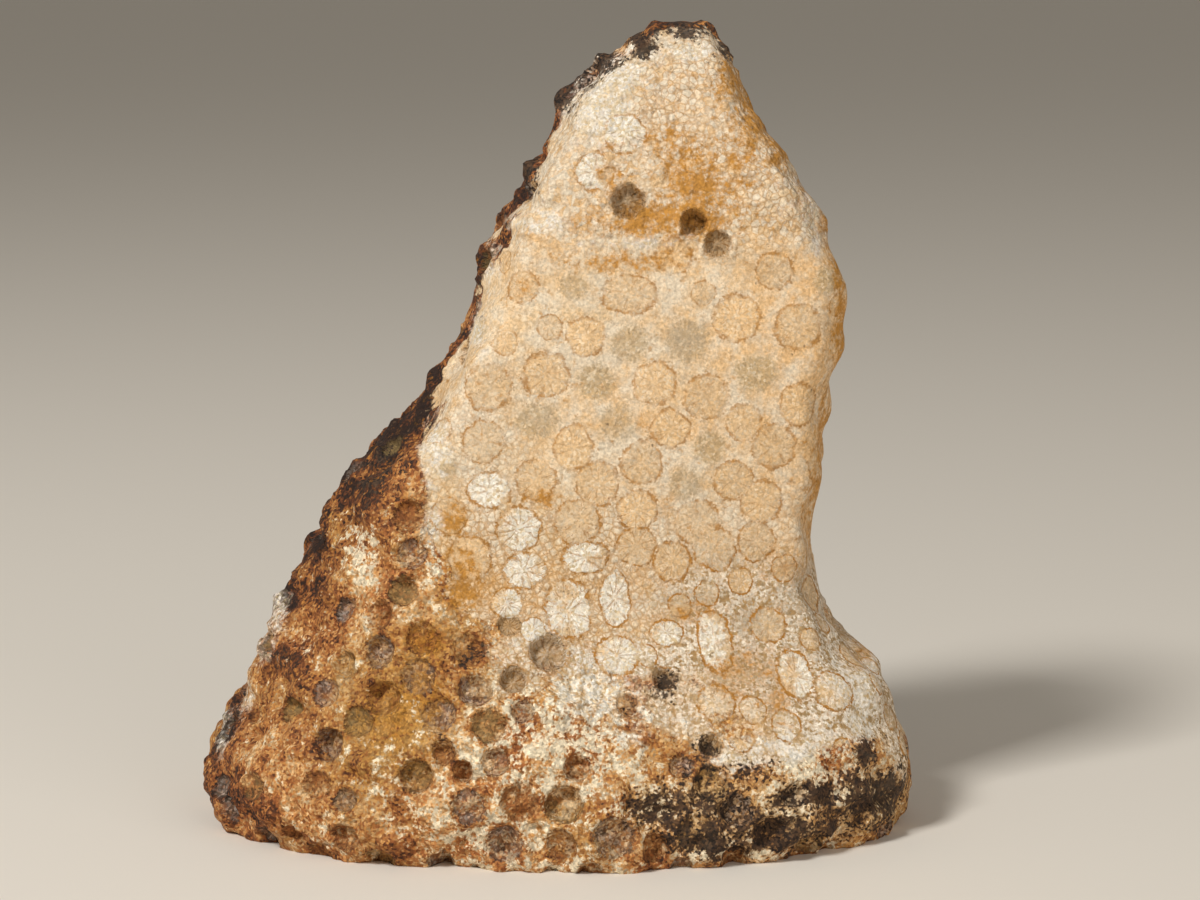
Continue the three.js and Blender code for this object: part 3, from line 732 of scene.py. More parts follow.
@dataclass(frozen=True)
class CoralLimestone:
    """Weathered fossil coral limestone, never polished.

    To the eye it is matt all over, cream and finely speckled where it is worn, and rust brown and
    crumbly in the rind. Sizes that end in mm are the real sizes of its beads, grains and patches.
    """

    bead_mm: float = 1.2
    # Real granules and grit are about 0.2 mm. They are drawn as coarse as they need to show.
    granule_mm: float = 0.45
    grit_mm: float = 0.45
    crumb_mm: float = 1.9
    scab_mm: float = 4.2
    patch_mm: float = 9.0
    blotch_mm: float = 22.0
    waver_mm: float = 1.7
    knob_mm: float = 2.4
    fewest_septa: float = 7.0
    more_septa: float = 5.0
    costae: float = 26.0
    peach: str = "#dcbd92"
    warm_peach: str = "#dfb682"
    cream: str = "#dfd0b7"
    bead: str = "#efdfc2"
    bleach_dark: str = "#987b4e"
    bleach_light: str = "#f4ebd9"
    disc_grey: str = "#b89b70"
    disc_buff: str = "#dcb684"
    disc_tan: str = "#cdb48a"
    disc_white: str = "#f0e8d7"
    ash: str = "#b3a288"
    line: str = "#a8732c"
    speck: str = "#7a4a26"
    chalk: str = "#e6dfd2"
    chalk_shade: str = "#cfb88f"
    ochre: str = "#b97d1f"
    hole: str = "#936a36"
    rind_steps: tuple[tuple[float, str], ...] = (
        (0.36, "#2a180d"), (0.42, "#633619"), (0.463, "#935529"), (0.505, "#ae713b"), (0.556, "#c8965e"),
        (0.615, "#dab788"))
    rind_ochre: str = "#a17836"
    rind_white: str = "#e3d2b2"
    cup_grey: str = "#7a6755"
    cup_silver: str = "#c3b9ae"
    cup_rust: str = "#955c2d"
    cup_olive: str = "#9b804e"
    soot: str = "#1f1915"
    soot_brown: str = "#4f3926"
    roughness_worn: float = 0.74
    roughness_rind: float = 0.8
    ior: float = 1.5
    specular_level: float = 0.35
    # Worn limestone scatters light evenly, so it gives the eye a dry, chalky skin without a shine.
    bench: NodeBench = field(default_factory=lambda: NodeBench("weathered_fossil_coral_limestone"))
    s: Sockets = field(default_factory=dict)

    def material(self) -> bpy.types.Material:
        """Builds the stone's one material, layer by layer.

        Returns:
            The material.
        """
        for layer in (self._read, self._noises, self._corallites, self._grounds, self._discs, self._lines,
                      self._rind, self._cups, self._covers, self._surface):
            layer()
        return self.bench.material

    def _read(self) -> None:
        """Reads the place in millimetres and what the mesh stores at it."""
        add, s = self.bench.add, self.s
        s["mm"] = add("brighten", add("TexCoord", out="Object"), 1.0 / MM)
        for attribute, names in STORED:
            vector = add("Attribute", out="Vector", attribute_name=attribute)
            s.update(zip(names, add("SeparateXYZ", vector).node.outputs))

    def _noises(self) -> None:
        """Adds noises at the real sizes of blotches, scabs, crumbs and grit, and packs the beads."""
        add, s = self.bench.add, self.s
        for name, size, detail, rough in (
                ("blotch", self.blotch_mm, 2.0, 0.5), ("patch", self.patch_mm, 4.0, 0.55),
                ("scab", self.scab_mm, 6.0, 0.64), ("crumb", self.crumb_mm, 5.0, 0.66),
                ("grit", self.grit_mm, 2.0, 0.6), ("knob", self.knob_mm, 2.0, 0.5)):
            s[name] = add("TexNoise", Vector=s["mm"], Scale=1.0 / size, Detail=detail, Roughness=rough)
        drift = add("TexNoise", Vector=s["mm"], Scale=1.0 / self.waver_mm, Detail=3.0, out="Color")
        shift = add("shift", drift, (0.5,) * 3)
        s.update(zip(("waver_a", "waver_b"), add("SeparateXYZ", shift).node.outputs))
        bent = add("bend", shift, (1.1,) * 3, s["mm"])
        bead = 1.0 / self.bead_mm
        edge = add("TexVoronoi", Vector=bent, Scale=bead, feature="DISTANCE_TO_EDGE")
        far = add("TexVoronoi", Vector=bent, Scale=bead)
        s["gap"] = add("ease", edge, 0.15, 0.03)
        s["dome"] = add("ease", far, 0.66, 0.1)
        s["bead_tone"] = add("SeparateXYZ", far.node.outputs["Color"])
        granule = add("TexVoronoi", Vector=s["mm"], Scale=1.0 / self.granule_mm, out="Color")
        s.update(zip(("granule", "granule_hue"), add("SeparateXYZ", granule).node.outputs))

    def _corallites(self) -> None:
        """Draws each corallite from its own place: disc, scalloped rim, septal lines and outer ribs.

        The septal lines lie where the angle times their number folds to zero, and keep an even width.
        """
        add, s = self.bench.add, self.s
        wide = add("times", s["own_x"], s["own_x"])
        tall = add("scale_add", s["own_y"], s["own_y"], wide)
        plain = add("root", tall)
        reach = add("scale_add", s["waver_a"], 0.55, plain)
        grit = add("less", s["grit"], 0.5)
        s["reach"] = add("scale_add", grit, 0.34, reach)
        angle = add("angle", s["own_y"], s["own_x"])
        turns = add("times", angle, 0.5 / math.pi)
        many = add("scale_add", s["seed"], self.more_septa, self.fewest_septa)
        many = add("whole", many)
        twice = add("times", many, 2.0)
        lines = []
        for count, swing, thick, narrow in ((many, 1.1, 0.085, reach), (twice, 1.6, 0.1, reach),
                                            (self.costae, 1.3, 0.22, 1.0)):
            turned = add("scale_add", turns, count, s["seed"])
            swung = add("scale_add", s["waver_b"], swing, turned)
            fold = add("fold", swung, 0.5)
            across = add("times", fold, narrow)
            lines.append(add("ease", across, thick, 0.02))
        outer = add("range", s["reach"], 0.45, 0.75, 0.0, 0.75)
        short = add("times", lines[1], outer)
        both = add("most", lines[0], short)
        broken = add("range", s["crumb"], 0.4, 0.54, 0.1, 1.0)
        both = add("times", both, broken)
        start = add("range", s["tone"], 0.5, 1.0, 0.5, 0.25)
        fan = add("range", s["reach"], 0.05, start)
        s["septum"] = add("times", both, fan)
        s["rib"] = lines[2]
        scallop = add("scale_add", lines[0], 0.12, s["reach"])
        inner = add("range", s["tone"], 0.0, 0.4, 0.66, 0.9)
        s["disc"] = add("ease", scallop, 1.04, inner)
        off = add("less", s["reach"], 1.03)
        away = add("unsigned", off)
        s["rim"] = add("ease", away, 0.14, 0.02)
        s["cup_inside"] = add("times", s["disc"], s["cup"])

    def _grounds(self) -> None:
        """Colours the worn ground: peach with clouds of cream, beads, and bleached grains low down."""
        add, s = self.bench.add, self.s
        warm = add("scale_add", s["warm"], 0.35, s["blotch"])
        warm = add("range", warm, 0.42, 0.78)
        ground = add("blend", warm, self.peach, self.warm_peach)
        cloud = add("scale_add", s["pale"], 0.22, s["scab"])
        cloud = add("range", cloud, 0.44, 0.66, 0.0, 0.85)
        ground = add("blend", cloud, ground, self.cream)
        bead = add("range", s["bead_tone"], 0.1, 0.8, 0.15, 1.0)
        bead = add("times", s["dome"], bead)
        strength = add("scale_add", s["strong"], 0.55, 0.27)
        bead = add("times", bead, strength)
        ground = add("blend", bead, ground, self.bead)
        flake = add("range", s["bead_tone"], 0.3, 0.7, 0.0, 0.8)
        flake = add("times", flake, s["sugar"])
        ground = add("blend", flake, ground, self.cream)
        grains = add("scale_add", s["granule"], 0.3, s["crumb"])
        grains = add("range", grains, 0.53, 0.74)
        bleached = add("blend", grains, self.bleach_dark, self.bleach_light)
        part = add("times", s["bleach"], 0.85)
        s["ground"] = add("blend", part, ground, bleached)

    def _discs(self) -> None:
        """Lays the discs on the ground: soft speckled grey ones, buff ones, and white ones half tan."""
        add, s = self.bench.add, self.s
        buff = add("range", s["tone"], 0.0, 0.5)
        disc = add("blend", buff, self.disc_grey, self.disc_buff)
        light = add("range", s["granule"], 0.5, 1.0, 0.0, 0.55)
        disc = add("blend", light, disc, self.bead)
        tint = add("range", s["seed"], 0.0, 1.0, 0.8, 1.04)
        disc = add("brighten", disc, tint)
        whole = add("range", s["tone"], 0.5, 1.0)
        lean = add("scale_add", s["seed"], 2.6, -1.3)
        side = add("times", s["scab"], 5.0)
        side = add("scale_add", s["own_x"], lean, side)
        kept = add("range", side, 1.9, 2.3, 0.25, 1.0)
        white = add("times", whole, kept)
        grains = add("scale_add", s["granule"], 0.5, s["crumb"])
        grains = add("range", grains, 0.4, 0.85)
        bright = add("blend", grains, self.disc_tan, self.disc_white)
        disc = add("blend", white, disc, bright)
        clear = add("range", s["seed"], 0.0, 1.0, 0.5, 0.9)
        clear = add("most", clear, whole)
        part = add("times", s["disc"], clear)
        worn = add("blend", part, s["ground"], disc)
        ash = add("scale_add", s["ash"], 0.35, s["crumb"])
        ash = add("range", ash, 0.6, 0.9, 0.0, 0.85)
        s["worn"] = add("blend", ash, worn, self.ash)
        s["whole"] = whole

    def _lines(self) -> None:
        """Draws ochre patches, gaps between beads, ribs, rims, septa and specks on the worn front."""
        add, s = self.bench.add, self.s
        ochre = add("scale_add", s["crumb"], 2.4, s["ochre"])
        ochre = add("scale_add", s["granule"], 0.4, ochre)
        s["ochre_part"] = add("ease", ochre, 1.5, 2.3, 0.0, 0.92)
        worn = add("blend", s["ochre_part"], s["worn"], self.ochre)
        strength = add("scale_add", s["strong"], 0.64, 0.02)
        gap = add("times", s["gap"], strength)
        near = add("ease", s["reach"], 2.3, 1.3)
        rib = add("times", s["rib"], near)
        rib = add("times", rib, s["ladder"])
        between = add("most", gap, rib)
        strength = add("scale_add", s["strong"], 0.25, 0.36)
        septum = add("times", s["septum"], strength)
        clear = add("range", s["tone"], 0.0, 0.4, 0.12, 1.0)
        septum = add("times", septum, clear)
        drawn = add("between", s["disc"], between, septum)
        strength = add("scale_add", s["strong"], 0.25, 0.75)
        broken = add("range", s["crumb"], 0.38, 0.54, 0.2, 1.0)
        strength = add("scale_add", s["bleach"], 0.35, strength)
        rim = add("times", s["rim"], strength)
        rim = add("times", rim, broken)
        rim = add("times", rim, clear)
        s["drawn"] = add("most", drawn, rim)
        worn = add("blend", s["drawn"], worn, self.line)
        specks = add("scale_add", s["strong"], 0.06, s["grit"])
        specks = add("range", specks, 0.68, 0.75, 0.0, 0.6)
        worn = add("blend", specks, worn, self.speck)
        hollow = add("range", s["septum"], 0.0, 0.7, 0.42, 1.0)
        hollow = add("times", s["cup_inside"], hollow)
        s["worn"] = add("blend", hollow, worn, self.hole)

    def _rind(self) -> None:
        """Colours the rind: dark brown, rust, ochre, tan and cream patches, every granule a little off."""
        add, s = self.bench.add, self.s
        level = add("times", s["crumb"], 0.2)
        for name, share in (("scab", 0.42), ("patch", 0.28), ("granule", 0.12), ("fleck", 0.04),
                            ("dark", -0.17)):
            level = add("scale_add", s[name], share, level)
        bridge = add("range", s["reach"], 0.98, 1.3, 0.0, 0.02)
        level = add("scale_add", bridge, s["cup"], level)
        colour = self.rind_steps[0][1]
        for (low, _), (high, shade) in zip(self.rind_steps, self.rind_steps[1:]):
            part = add("range", level, low, high)
            colour = add("blend", part, colour, shade)
        hue = add("scale_add", s["ochre"], 0.3, s["blotch"])
        hue = add("scale_add", s["granule_hue"], 0.25, hue)
        hue = add("range", hue, 0.58, 0.95, 0.0, 0.7)
        middle = add("range", level, 0.42, 0.5)
        hue = add("times", hue, middle)
        s["rind_colour"] = add("blend", hue, colour, self.rind_ochre)
        white = add("scale_add", s["scab"], 0.42, bridge)
        for name, share in (("crumb", 0.48), ("granule", 0.08), ("fleck", 0.11), ("dark", -0.1)):
            white = add("scale_add", s[name], share, white)
        s["white"] = add("ease", white, 0.56, 0.63)

    def _cups(self) -> None:
        """Colours the cups in the rind: silver, rust or olive granules, a wall darkened by painted shade,
        and cream bridges.
        """
        add, s = self.bench.add, self.s
        rust = add("range", s["seed"], 0.45, 0.35)
        olive = add("range", s["seed"], 0.7, 0.8)
        silver = add("range", s["granule"], 0.35, 1.0)
        floor = add("blend", silver, self.cup_grey, self.cup_silver)
        floor = add("blend", rust, floor, self.cup_rust)
        floor = add("blend", olive, floor, self.cup_olive)
        part = add("scale_add", s["granule_hue"], 0.1, s["scab"])
        part = add("range", part, 0.42, 0.62, 0.75, 0.2)
        part = add("times", s["cup_inside"], part)
        colour = add("blend", part, s["rind_colour"], floor)
        # Painted shade: the cup walls and the septa inside the cups are darkened towards the darkest rind
        # brown.
        wall = add("ease", s["reach"], 0.7, 0.95)
        painted_cup_shade = add("most", wall, s["septum"])
        painted_cup_shade = add("times", painted_cup_shade, s["cup_inside"])
        painted_cup_shade = add("times", painted_cup_shade, 0.38)
        colour = add("blend", painted_cup_shade, colour, self.rind_steps[0][1])
        part = add("times", s["ochre_part"], 0.6)
        colour = add("blend", part, colour, self.ochre)
        clean = add("scale_add", s["cup_inside"], -0.75, 1.0)
        s["white"] = add("times", s["white"], clean)
        s["rind_colour"] = add("blend", s["white"], colour, self.rind_white)

    def _covers(self) -> None:
        """Joins the worn front and the rind along a ragged edge, and lays chalk and soot over both."""
        add, s = self.bench.add, self.s
        edge = add("scale_add", s["scab"], 1.3, s["rind"])
        edge = add("scale_add", s["crumb"], 1.1, edge)
        s["edge"] = add("ease", edge, 1.6, 1.8)
        colour = add("blend", s["edge"], s["worn"], s["rind_colour"])
        crumbs = add("scale_add", s["granule"], 0.35, s["crumb"])
        crumbs = add("range", crumbs, 0.5, 0.8)
        chalk = add("blend", crumbs, self.chalk_shade, self.chalk)
        dust = add("scale_add", s["scab"], 1.5, s["chalk"])
        dust = add("scale_add", s["crumb"], 1.3, dust)
        dust = add("ease", dust, 1.75, 2.3, 0.0, 0.85)
        bare = add("most", s["drawn"], s["cup_inside"])
        bare = add("scale_add", bare, -0.9, 1.0)
        dust = add("times", dust, bare)
        colour = add("blend", dust, colour, chalk)
        soot = add("scale_add", s["scab"], -1.8, s["soot"])
        for name, share in (("crumb", -1.3), ("granule", -0.42), ("white", -0.15)):
            soot = add("scale_add", s[name], share, soot)
        soot = add("ease", soot, -1.3, -1.0, 0.0, 0.95)
        black = add("blend", s["granule_hue"], self.soot, self.soot_brown)
        s["colour"] = add("blend", soot, colour, black)

    def _surface(self) -> None:
        """Gives every granule its own brightness, and sets the fine relief and the roughness."""
        add, s = self.bench.add, self.s
        rough_skin = add("most", s["edge"], s["sugar"])
        spread = add("scale_add", s["edge"], 0.38, 0.3)
        shade = add("plus", s["granule_hue"], -0.5)
        shade = add("scale_add", shade, spread, 1.0)
        grit = add("range", s["grit"], 0.3, 0.7, 0.8, 1.18)
        shade = add("times", shade, grit)
        colour = add("brighten", s["colour"], shade)
        bead = add("scale_add", s["dome"], 0.16, -0.08)
        bead = add("times", bead, s["strong"])
        deep = add("range", s["whole"], 0.0, 1.0, -0.03, -0.06)
        disc = add("scale_add", s["septum"], deep, 0.02)
        fine = add("between", s["disc"], bead, disc)
        knob = add("scale_add", s["knob"], 2.0, -1.0)
        grains = add("scale_add", s["grit"], 0.14, knob)
        share = add("range", rough_skin, 0.0, 1.0, 0.12, 0.7)
        high = add("scale_add", grains, share, fine)
        sunk = add("range", s["scab"], 0.42, 0.58, -0.45, -0.08)
        high = add("scale_add", s["cup_inside"], sunk, high)
        bump = add("Bump", Strength=1.0, Distance=MM, Height=high)
        rough = add("range", s["edge"], 0.0, 1.0, self.roughness_worn, self.roughness_rind)
        matt = {"Base Color": colour, "Specular IOR Level": self.specular_level}
        shader = add("BsdfPrincipled", Roughness=rough, Normal=bump, IOR=self.ior, **matt)
        add("OutputMaterial", shader)


@dataclass
class CoralStone:
    """The whole stone: one closed skin over the form, with its cups, crumbs and covers."""

    form: StoneForm = field(default_factory=StoneForm)
    finish: CoralLimestone = field(default_factory=CoralLimestone)
    columns: int = 332
    rows: int = 280
    front_share: float = 0.42
    base_rings: tuple[float, ...] = (0.97, 0.8, 0.5, 0.2)
    crust: float = 0.2
    collar: float = 0.3
    septa: int = 12
    tip_from: float = 98.0
    tip_full: float = 106.0

    def build(self) -> bpy.types.Object:
        """Makes the stone and dresses it.

        Returns:
            The finished object.
        """
        colony = Colony(self.form)
        LOG.info("corallites: %d", len(colony.centre))
        places, theta = self._grid()
        outward = self._outward(places)
        flat = places.reshape(-1, 3)
        covers = self._covers(flat, colony.inside_worn(flat, theta.ravel()), theta.ravel())
        relief = self._relief(colony, flat, covers)
        skin = self._displace(places, outward, relief.reshape(places.shape[:2]))
        mesh, corners, faces = self._mesh(skin)
        self._store(mesh, colony, covers, corners, faces)
        piece = bpy.data.objects.new("fossil_coral_stone", mesh)
        bpy.context.scene.collection.objects.link(piece)
        mesh.materials.append(self.finish.material())
        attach(piece, "root")
        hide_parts("fossil_coral")
        LOG.info("%s: %d vertices, %d faces", piece.name, len(mesh.vertices), len(mesh.polygons))
        return piece

    def _grid(self) -> tuple[np.ndarray, np.ndarray]:
        """Lays the grid: columns round the stone, closer together at the front, and even rows up it.

        The angle is 2 pi c less a share of sin(2 pi c), with c from minus a half to a half.

        Returns:
            The places as rows by columns by 3, and their angles.
        """
        part = np.arange(self.columns) / self.columns - 0.5
        theta = 2.0 * math.pi * part - self.front_share * np.sin(2.0 * math.pi * part)
        z, _, way = self.form.girth()
        heights = np.interp(np.linspace(0.0, way[-1], self.rows), way, z)
        angles, levels = np.meshgrid(theta, heights)
        return self.form.surface(angles, levels)[0], angles

    @staticmethod
    def _outward(places: np.ndarray) -> np.ndarray:
        """Finds outward directions: across the columns times up the rows.

        Args:
            places: The grid's places.

        Returns:
            Unit directions of the same shape.
        """
        side = np.roll(places, -1, axis=1) - np.roll(places, 1, axis=1)
        outward = np.cross(side, np.gradient(places, axis=0))
        return outward / np.maximum(np.linalg.norm(outward, axis=-1, keepdims=True), 1e-9)

    def _covers(self, flat: np.ndarray, inside: np.ndarray, theta: np.ndarray) -> dict[str, np.ndarray]:
        """Works out what covers each place: rind, chalk, soot and the other stains.

        Args:
            flat: Places on the form.
            inside: How far inside the worn front each lies.
            theta: Their angles.

        Returns:
            One array from 0 to 1 for each cover.
        """
        x, z = flat[:, 0], flat[:, 2]
        loose = smooth(52.0, 34.0, z)
        ragged = inside + (2.0 + 3.5 * loose) * grain(flat, 8.0, 1) + 1.4 * grain(flat, 3.0, 2)
        rind = smooth(1.0, -1.0, ragged / (2.0 + 6.0 * loose))
        last_seen = -0.25 - 0.45 * smooth(95.0, 110.0, z)
        seen = smooth(0.0, 0.4, np.cos(theta) - last_seen)
        worn, behind = 1.0 - rind, 1.0 - seen
        patches = smooth(0.15, 0.75, grain(flat, 16.0, 3))
        scattered = smooth(0.1, 0.8, grain(flat, 11.0, 4))
        tip = smooth(self.tip_from, self.tip_full, z)
        beaded = smooth(64.0, 54.0, z) * (0.75 - 0.45 * smooth(8.0, 26.0, x)) + 0.62 * tip
        beaded -= 0.4 * tip * smooth(0.4, -0.3, grain(flat, 9.0, 17))
        beaded += 0.35 * smooth(4.0, -10.0, x) * smooth(90.0, 70.0, z) * smooth(54.0, 64.0, z)
        flank = smooth(0.45, 0.05, np.cos(theta)) * smooth(0.0, -10.0, x)
        flank *= smooth(-0.4, 0.2, grain(flat, 9.0, 18))
        dark_behind = smooth(-0.1, 0.7, grain(flat, 20.0, 5))
        bleached_foot = smooth(54.0, 42.0, z) * smooth(10.0, 26.0, x)
        return {
            "rind": rind,
            "chalk": stain(CHALK, flat) * seen + 0.5 * behind * scattered * smooth(60.0, 20.0, z),
            "soot": stain(SOOT, flat) * seen + 0.75 * behind * patches,
            "ochre": stain(OCHRE, flat) * seen,
            "sugar": worn * tip,
            "ladder": 0.5 * worn * smooth(58.0, 46.0, z) * (1.0 - 0.6 * smooth(14.0, 30.0, x)),
            "strong": 0.1 + beaded,
            "fleck": stain(FLECK, flat) * seen + 0.6 * behind * scattered,
            "dark": stain(DARK_BROWN, flat) * seen + 0.45 * flank * seen + 0.6 * behind * dark_behind,
            "warm": smooth(0.0, 45.0, x) * smooth(110.0, 98.0, z),
            "pale": stain(PALE, flat) * worn,
            "ash": stain(ASH, flat) * worn,
            "bleach": worn * np.maximum(bleached_foot, smooth(40.0, 32.0, z)),
        }

    def _relief(self, colony: Colony, flat: np.ndarray, covers: dict[str, np.ndarray]) -> np.ndarray:
        """Works out how far each place stands out of the form.

        A cup is a floor at its depth, a wall that eases up to its rim, a low collar, a boss in the
        middle and radial septa as a cosine of the angle. The rind is a thin crust with crumbs.

        Args:
            colony: The corallites.
            flat: Places on the form.
            covers: What covers each place.

        Returns:
            Heights in millimetres.
        """
        z = flat[:, 2]
        index = colony.nearest(flat)
        own = colony.own_place(flat, index)
        ragged = np.where(colony.tone[index] == Habit.HOLE.value, 0.22, 0.1)
        reach = np.linalg.norm(own, axis=1) * (1.0 + ragged * grain(flat, 1.8, 6))
        angle = np.arctan2(own[:, 1], own[:, 0])
        depth = colony.depth[index] * (0.8 + 0.35 * np.sin(index * 1.9))
        wall = smooth(0.64, 1.0, reach)
        cup = depth * (0.3 * np.exp(-(reach / 0.26) ** 2) - (1.0 - wall))
        ridges = np.cos(self.septa * angle + index) * smooth(0.2, 0.5, reach) * smooth(1.05, 0.85, reach)
        cup += ragged * np.minimum(depth, 1.6) * ridges
        cup += self.collar * np.exp(-((reach - 1.12) / 0.16) ** 2) * np.minimum(depth, 1.0)
        rind, sugar = covers["rind"], covers["sugar"]
        crumbs = 0.5 * grain(flat, 8.0, 7) + self._crumbs(flat, 4.4, 8, 0.55)
        crumbs += self._crumbs(flat, 2.2, 9, 0.42)
        pocks = -0.8 * smooth(0.3, 0.7, grain(flat, 2.6, 10))
        scabs = 1.3 * covers["soot"] * smooth(104.0, 112.0, z) * smooth(-0.3, 0.3, grain(flat, 3.2, 16))
        rosette = (0.05 * smooth(1.0, 0.9, reach) - 0.05 * ridges) * (depth <= 0.0)
        worn = 0.09 * grain(flat, 5.0, 11) + 0.06 * grain(flat, 1.5, 12) + rosette
        sugary = self._crumbs(flat, 4.4, 13, 0.28) + self._crumbs(flat, 1.8, 14, 0.14)
        return cup + rind * (crumbs + pocks + self.crust + scabs) + (1.0 - rind) * (worn + sugar * sugary)

    @staticmethod
    def _crumbs(flat: np.ndarray, size: float, seed: int, height: float) -> np.ndarray:
        """Makes round crumbs with sharp creases: twice the relief without its sign, less 0.6.

        Args:
            flat: Places on the form.
            size: Size of the crumbs.
            seed: Picks one of many reliefs.
            height: Height of the crumbs.

        Returns:
            Heights in millimetres.
        """
        return height * (2.0 * np.abs(grain(flat, size, seed)) - 0.6)

    def _displace(self, places: np.ndarray, outward: np.ndarray, relief: np.ndarray) -> np.ndarray:
        """Moves the grid out by the relief; the foot stays level and nothing goes under it.

        Args:
            places: The grid's places.
            outward: Its outward directions.
            relief: Heights in millimetres.

        Returns:
            The moved places.
        """
        z = places[..., 2]
        calm = smooth(0.0, 1.2, self.form.height - z)
        moved = places + outward * (relief * calm)[..., None]
        ragged = grain(places.reshape(-1, 3), 4.5, 15).reshape(z.shape)
        foot = np.exp(-z / 2.4) * np.maximum(0.0, 2.6 * ragged - 0.1)
        moved[..., :2] -= outward[..., :2] * foot[..., None]
        moved[..., 2] = np.maximum(moved[..., 2], 0.0)
        moved[0, :, 2] = 0.0
        return moved

    def _mesh(self, skin: np.ndarray) -> tuple[bpy.types.Mesh, np.ndarray, np.ndarray]:
        """Makes the closed mesh: the grid, a point at the top, and rings that close the flat base.

        Args:
            skin: The moved places.

        Returns:
            The mesh, the vertex of each face corner, and the face of each face corner.
        """
        columns = skin.shape[1]
        rim = skin[0]
        middle = rim.mean(axis=0)
        rings = [middle + (rim - middle) * share for share in self.base_rings]
        top = skin[-1].mean(axis=0)
        layers = np.concatenate([np.stack(rings[::-1]), skin])
        points = np.concatenate([layers.reshape(-1, 3), [middle, top]]) * MM
        count = layers.shape[0]
        here = np.arange(columns)
        beside = (here + 1) % columns
        level = (np.arange(count - 1) * columns)[:, None]
        above = level + columns
        quads = np.stack([level + here, level + beside, above + beside, above + here], axis=-1)
        quads = quads.reshape(-1, 4)
        last = (count - 1) * columns
        under = np.stack([np.full(columns, count * columns), beside, here], axis=-1)
        over = np.stack([last + here, last + beside, np.full(columns, count * columns + 1)], axis=-1)
        mesh = bpy.data.meshes.new("fossil_coral_stone")
        mesh.from_pydata(points.tolist(), [], quads.tolist() + under.tolist() + over.tolist())
        mesh.polygons.foreach_set("use_smooth", np.ones(len(mesh.polygons), dtype=bool))
        mesh.update()
        corners = np.concatenate([quads.ravel(), under.ravel(), over.ravel()])
        sizes = np.concatenate([np.full(len(quads), 4), np.full(2 * columns, 3)])
        return mesh, corners, np.repeat(np.arange(len(sizes)), sizes)

    def _store(self, mesh: bpy.types.Mesh, colony: Colony, covers: dict[str, np.ndarray],
               corners: np.ndarray, faces: np.ndarray) -> None:
        """Stores what the finish reads: each corner's place in its corallite, and the covers.

        Args:
            mesh: The stone's mesh.
            colony: The corallites.
            covers: What covers each place of the grid.
            corners: The vertex of each face corner.
            faces: The face of each face corner.
        """
        points = np.empty(len(mesh.vertices) * 3)
        mesh.vertices.foreach_get("co", points)
        points = points.reshape(-1, 3) / MM
        centres = np.empty(len(mesh.polygons) * 3)
        mesh.polygons.foreach_get("center", centres)
        index = colony.nearest(centres.reshape(-1, 3) / MM)[faces]
        own = colony.own_place(points[corners], index)
        seeds = np.mod(index * GOLDEN_SHARE, 1.0)
        self._attribute(mesh, "calyx", "CORNER", np.column_stack([own, seeds]))
        full = {}
        for key, value in covers.items():
            under = np.tile(value[:self.columns], len(self.base_rings))
            full[key] = np.concatenate([under, value, value[:1], value[-1:]])
        cups = (colony.depth[index] > 0.0).astype(float)
        habits = np.column_stack([colony.tone[index], cups, full["strong"][corners]])
        self._attribute(mesh, "habit", "CORNER", habits)
        for name, keys in STORED[2:]:
            self._attribute(mesh, name, "POINT", np.column_stack([full[key] for key in keys]))

    @staticmethod
    def _attribute(mesh: bpy.types.Mesh, name: str, domain: str, values: np.ndarray) -> None:
        """Stores one vector for each corner or point of the mesh.

        Args:
            mesh: The mesh.
            name: The attribute's name.
            domain: CORNER or POINT.
            values: The vectors, as N by 3.
        """
        stored = mesh.attributes.new(name, "FLOAT_VECTOR", domain)
        stored.data.foreach_set("vector", values.astype(np.float32).ravel())


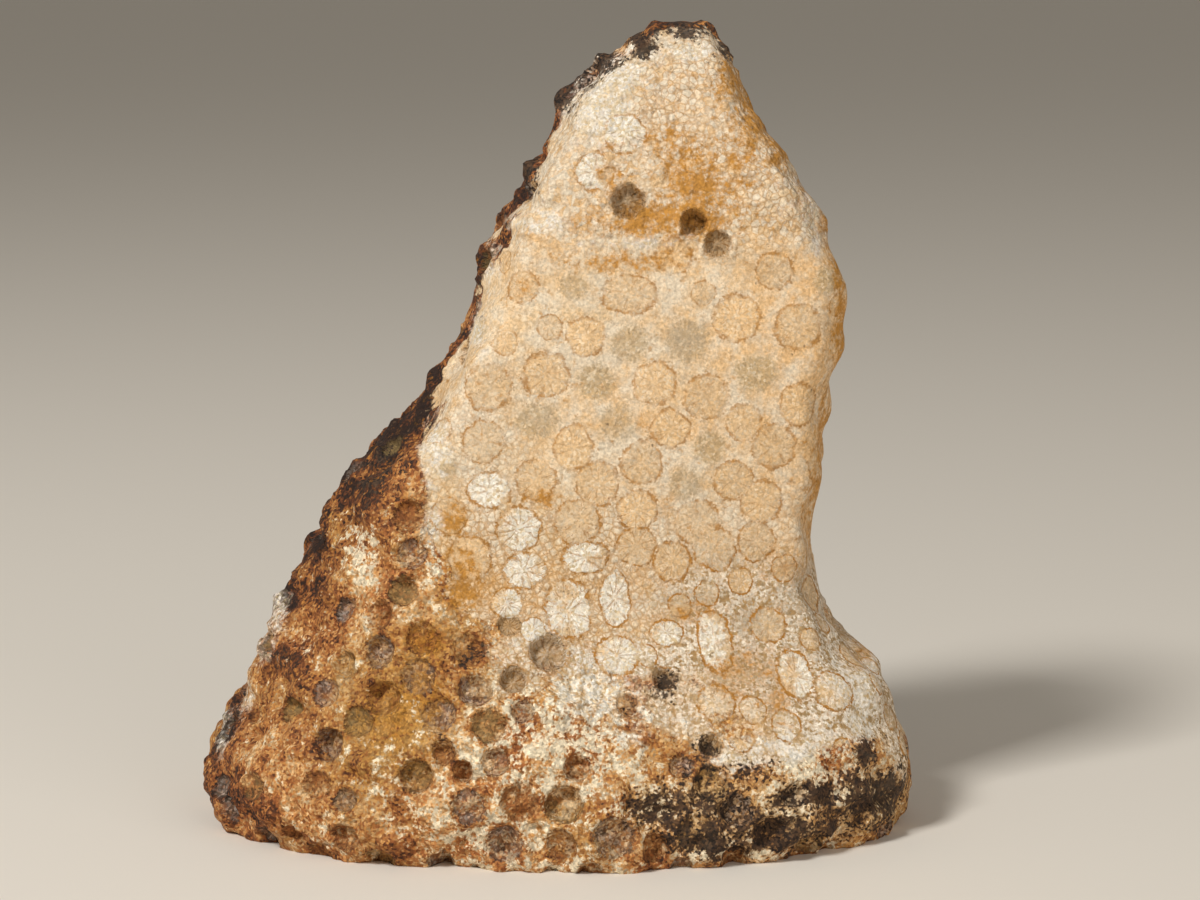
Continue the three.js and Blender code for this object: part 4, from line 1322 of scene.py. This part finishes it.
@dataclass
class Studio:
    """A plain pale floor, soft light from the upper left, and the camera."""

    target: Vector = field(default_factory=lambda: Vector((7.8, 0.0, 64.9)) * MM)
    distance: float = 0.5655
    elevation: float = 9.0
    lens: float = 96.0
    sensor: float = 36.0
    floor_half: float = 14.0
    floor_colour: str = "#e4dccf"
    sky_colour: str = "#f1ece4"
    sky_strength: float = 0.3

    def build(self) -> None:
        """Sets up the floor, the lights and the camera."""
        self._floor()
        self._light("key_light", place=(-0.66, -0.76, 1.1), size=0.3, power=16.4)
        self._light("fill_light", place=(0.7, -0.9, 0.4), size=0.8, power=3.0)
        self._sky()
        self._camera()

    def _floor(self) -> None:
        """Lays a wide level floor under the stone."""
        h = self.floor_half
        mesh = bpy.data.meshes.new("studio_floor")
        mesh.from_pydata([(-h, -h, 0.0), (h, -h, 0.0), (h, h, 0.0), (-h, h, 0.0)], [], [(0, 1, 2, 3)])
        floor = bpy.data.objects.new("studio_floor", mesh)
        bpy.context.scene.collection.objects.link(floor)
        # Matt paper gives the eye an even pale ground and takes a soft shadow.
        bench = NodeBench("matt_paper_floor")
        shader = bench.add("BsdfPrincipled", Roughness=0.9, **{"Base Color": self.floor_colour})
        bench.add("OutputMaterial", shader)
        mesh.materials.append(bench.material)

    def _light(self, name: str, place: tuple[float, float, float], size: float, power: float) -> None:
        """Hangs one soft square light that faces the stone.

        Args:
            name: The light's name.
            place: Where it hangs, in metres.
            size: Side of the square in metres.
            power: Its power in watts.
        """
        light = bpy.data.lights.new(name, "AREA")
        light.size = size
        light.energy = power
        lamp = bpy.data.objects.new(name, light)
        lamp.location = place
        lamp.rotation_euler = (self.target - Vector(place)).to_track_quat("-Z", "Y").to_euler()
        bpy.context.scene.collection.objects.link(lamp)

    def _sky(self) -> None:
        """Fills the room with an even pale light."""
        world = bpy.data.worlds.new("studio_room")
        world.use_nodes = True
        background = world.node_tree.nodes["Background"]
        background.inputs["Color"].default_value = linear(self.sky_colour)
        background.inputs["Strength"].default_value = self.sky_strength
        bpy.context.scene.world = world
        bpy.context.scene.view_settings.view_transform = "Standard"

    def _camera(self) -> None:
        """Stands the camera in front of the worn face, a little above it."""
        rise = math.radians(self.elevation)
        data = bpy.data.cameras.new("camera")
        data.lens = self.lens
        data.sensor_width = self.sensor
        data.sensor_fit = "HORIZONTAL"
        data.clip_end = 100.0
        camera = bpy.data.objects.new("camera", data)
        camera.location = self.target + Vector((0.0, -math.cos(rise), math.sin(rise))) * self.distance
        camera.rotation_euler = (math.pi / 2.0 - rise, 0.0, 0.0)
        bpy.context.scene.collection.objects.link(camera)
        bpy.context.scene.camera = camera


def main() -> None:
    """Builds the stone and its studio."""
    logging.basicConfig(level=logging.INFO, format="%(name)s: %(message)s")
    CoralStone().build()
    Studio().build()


if __name__ == "__main__":
    main()
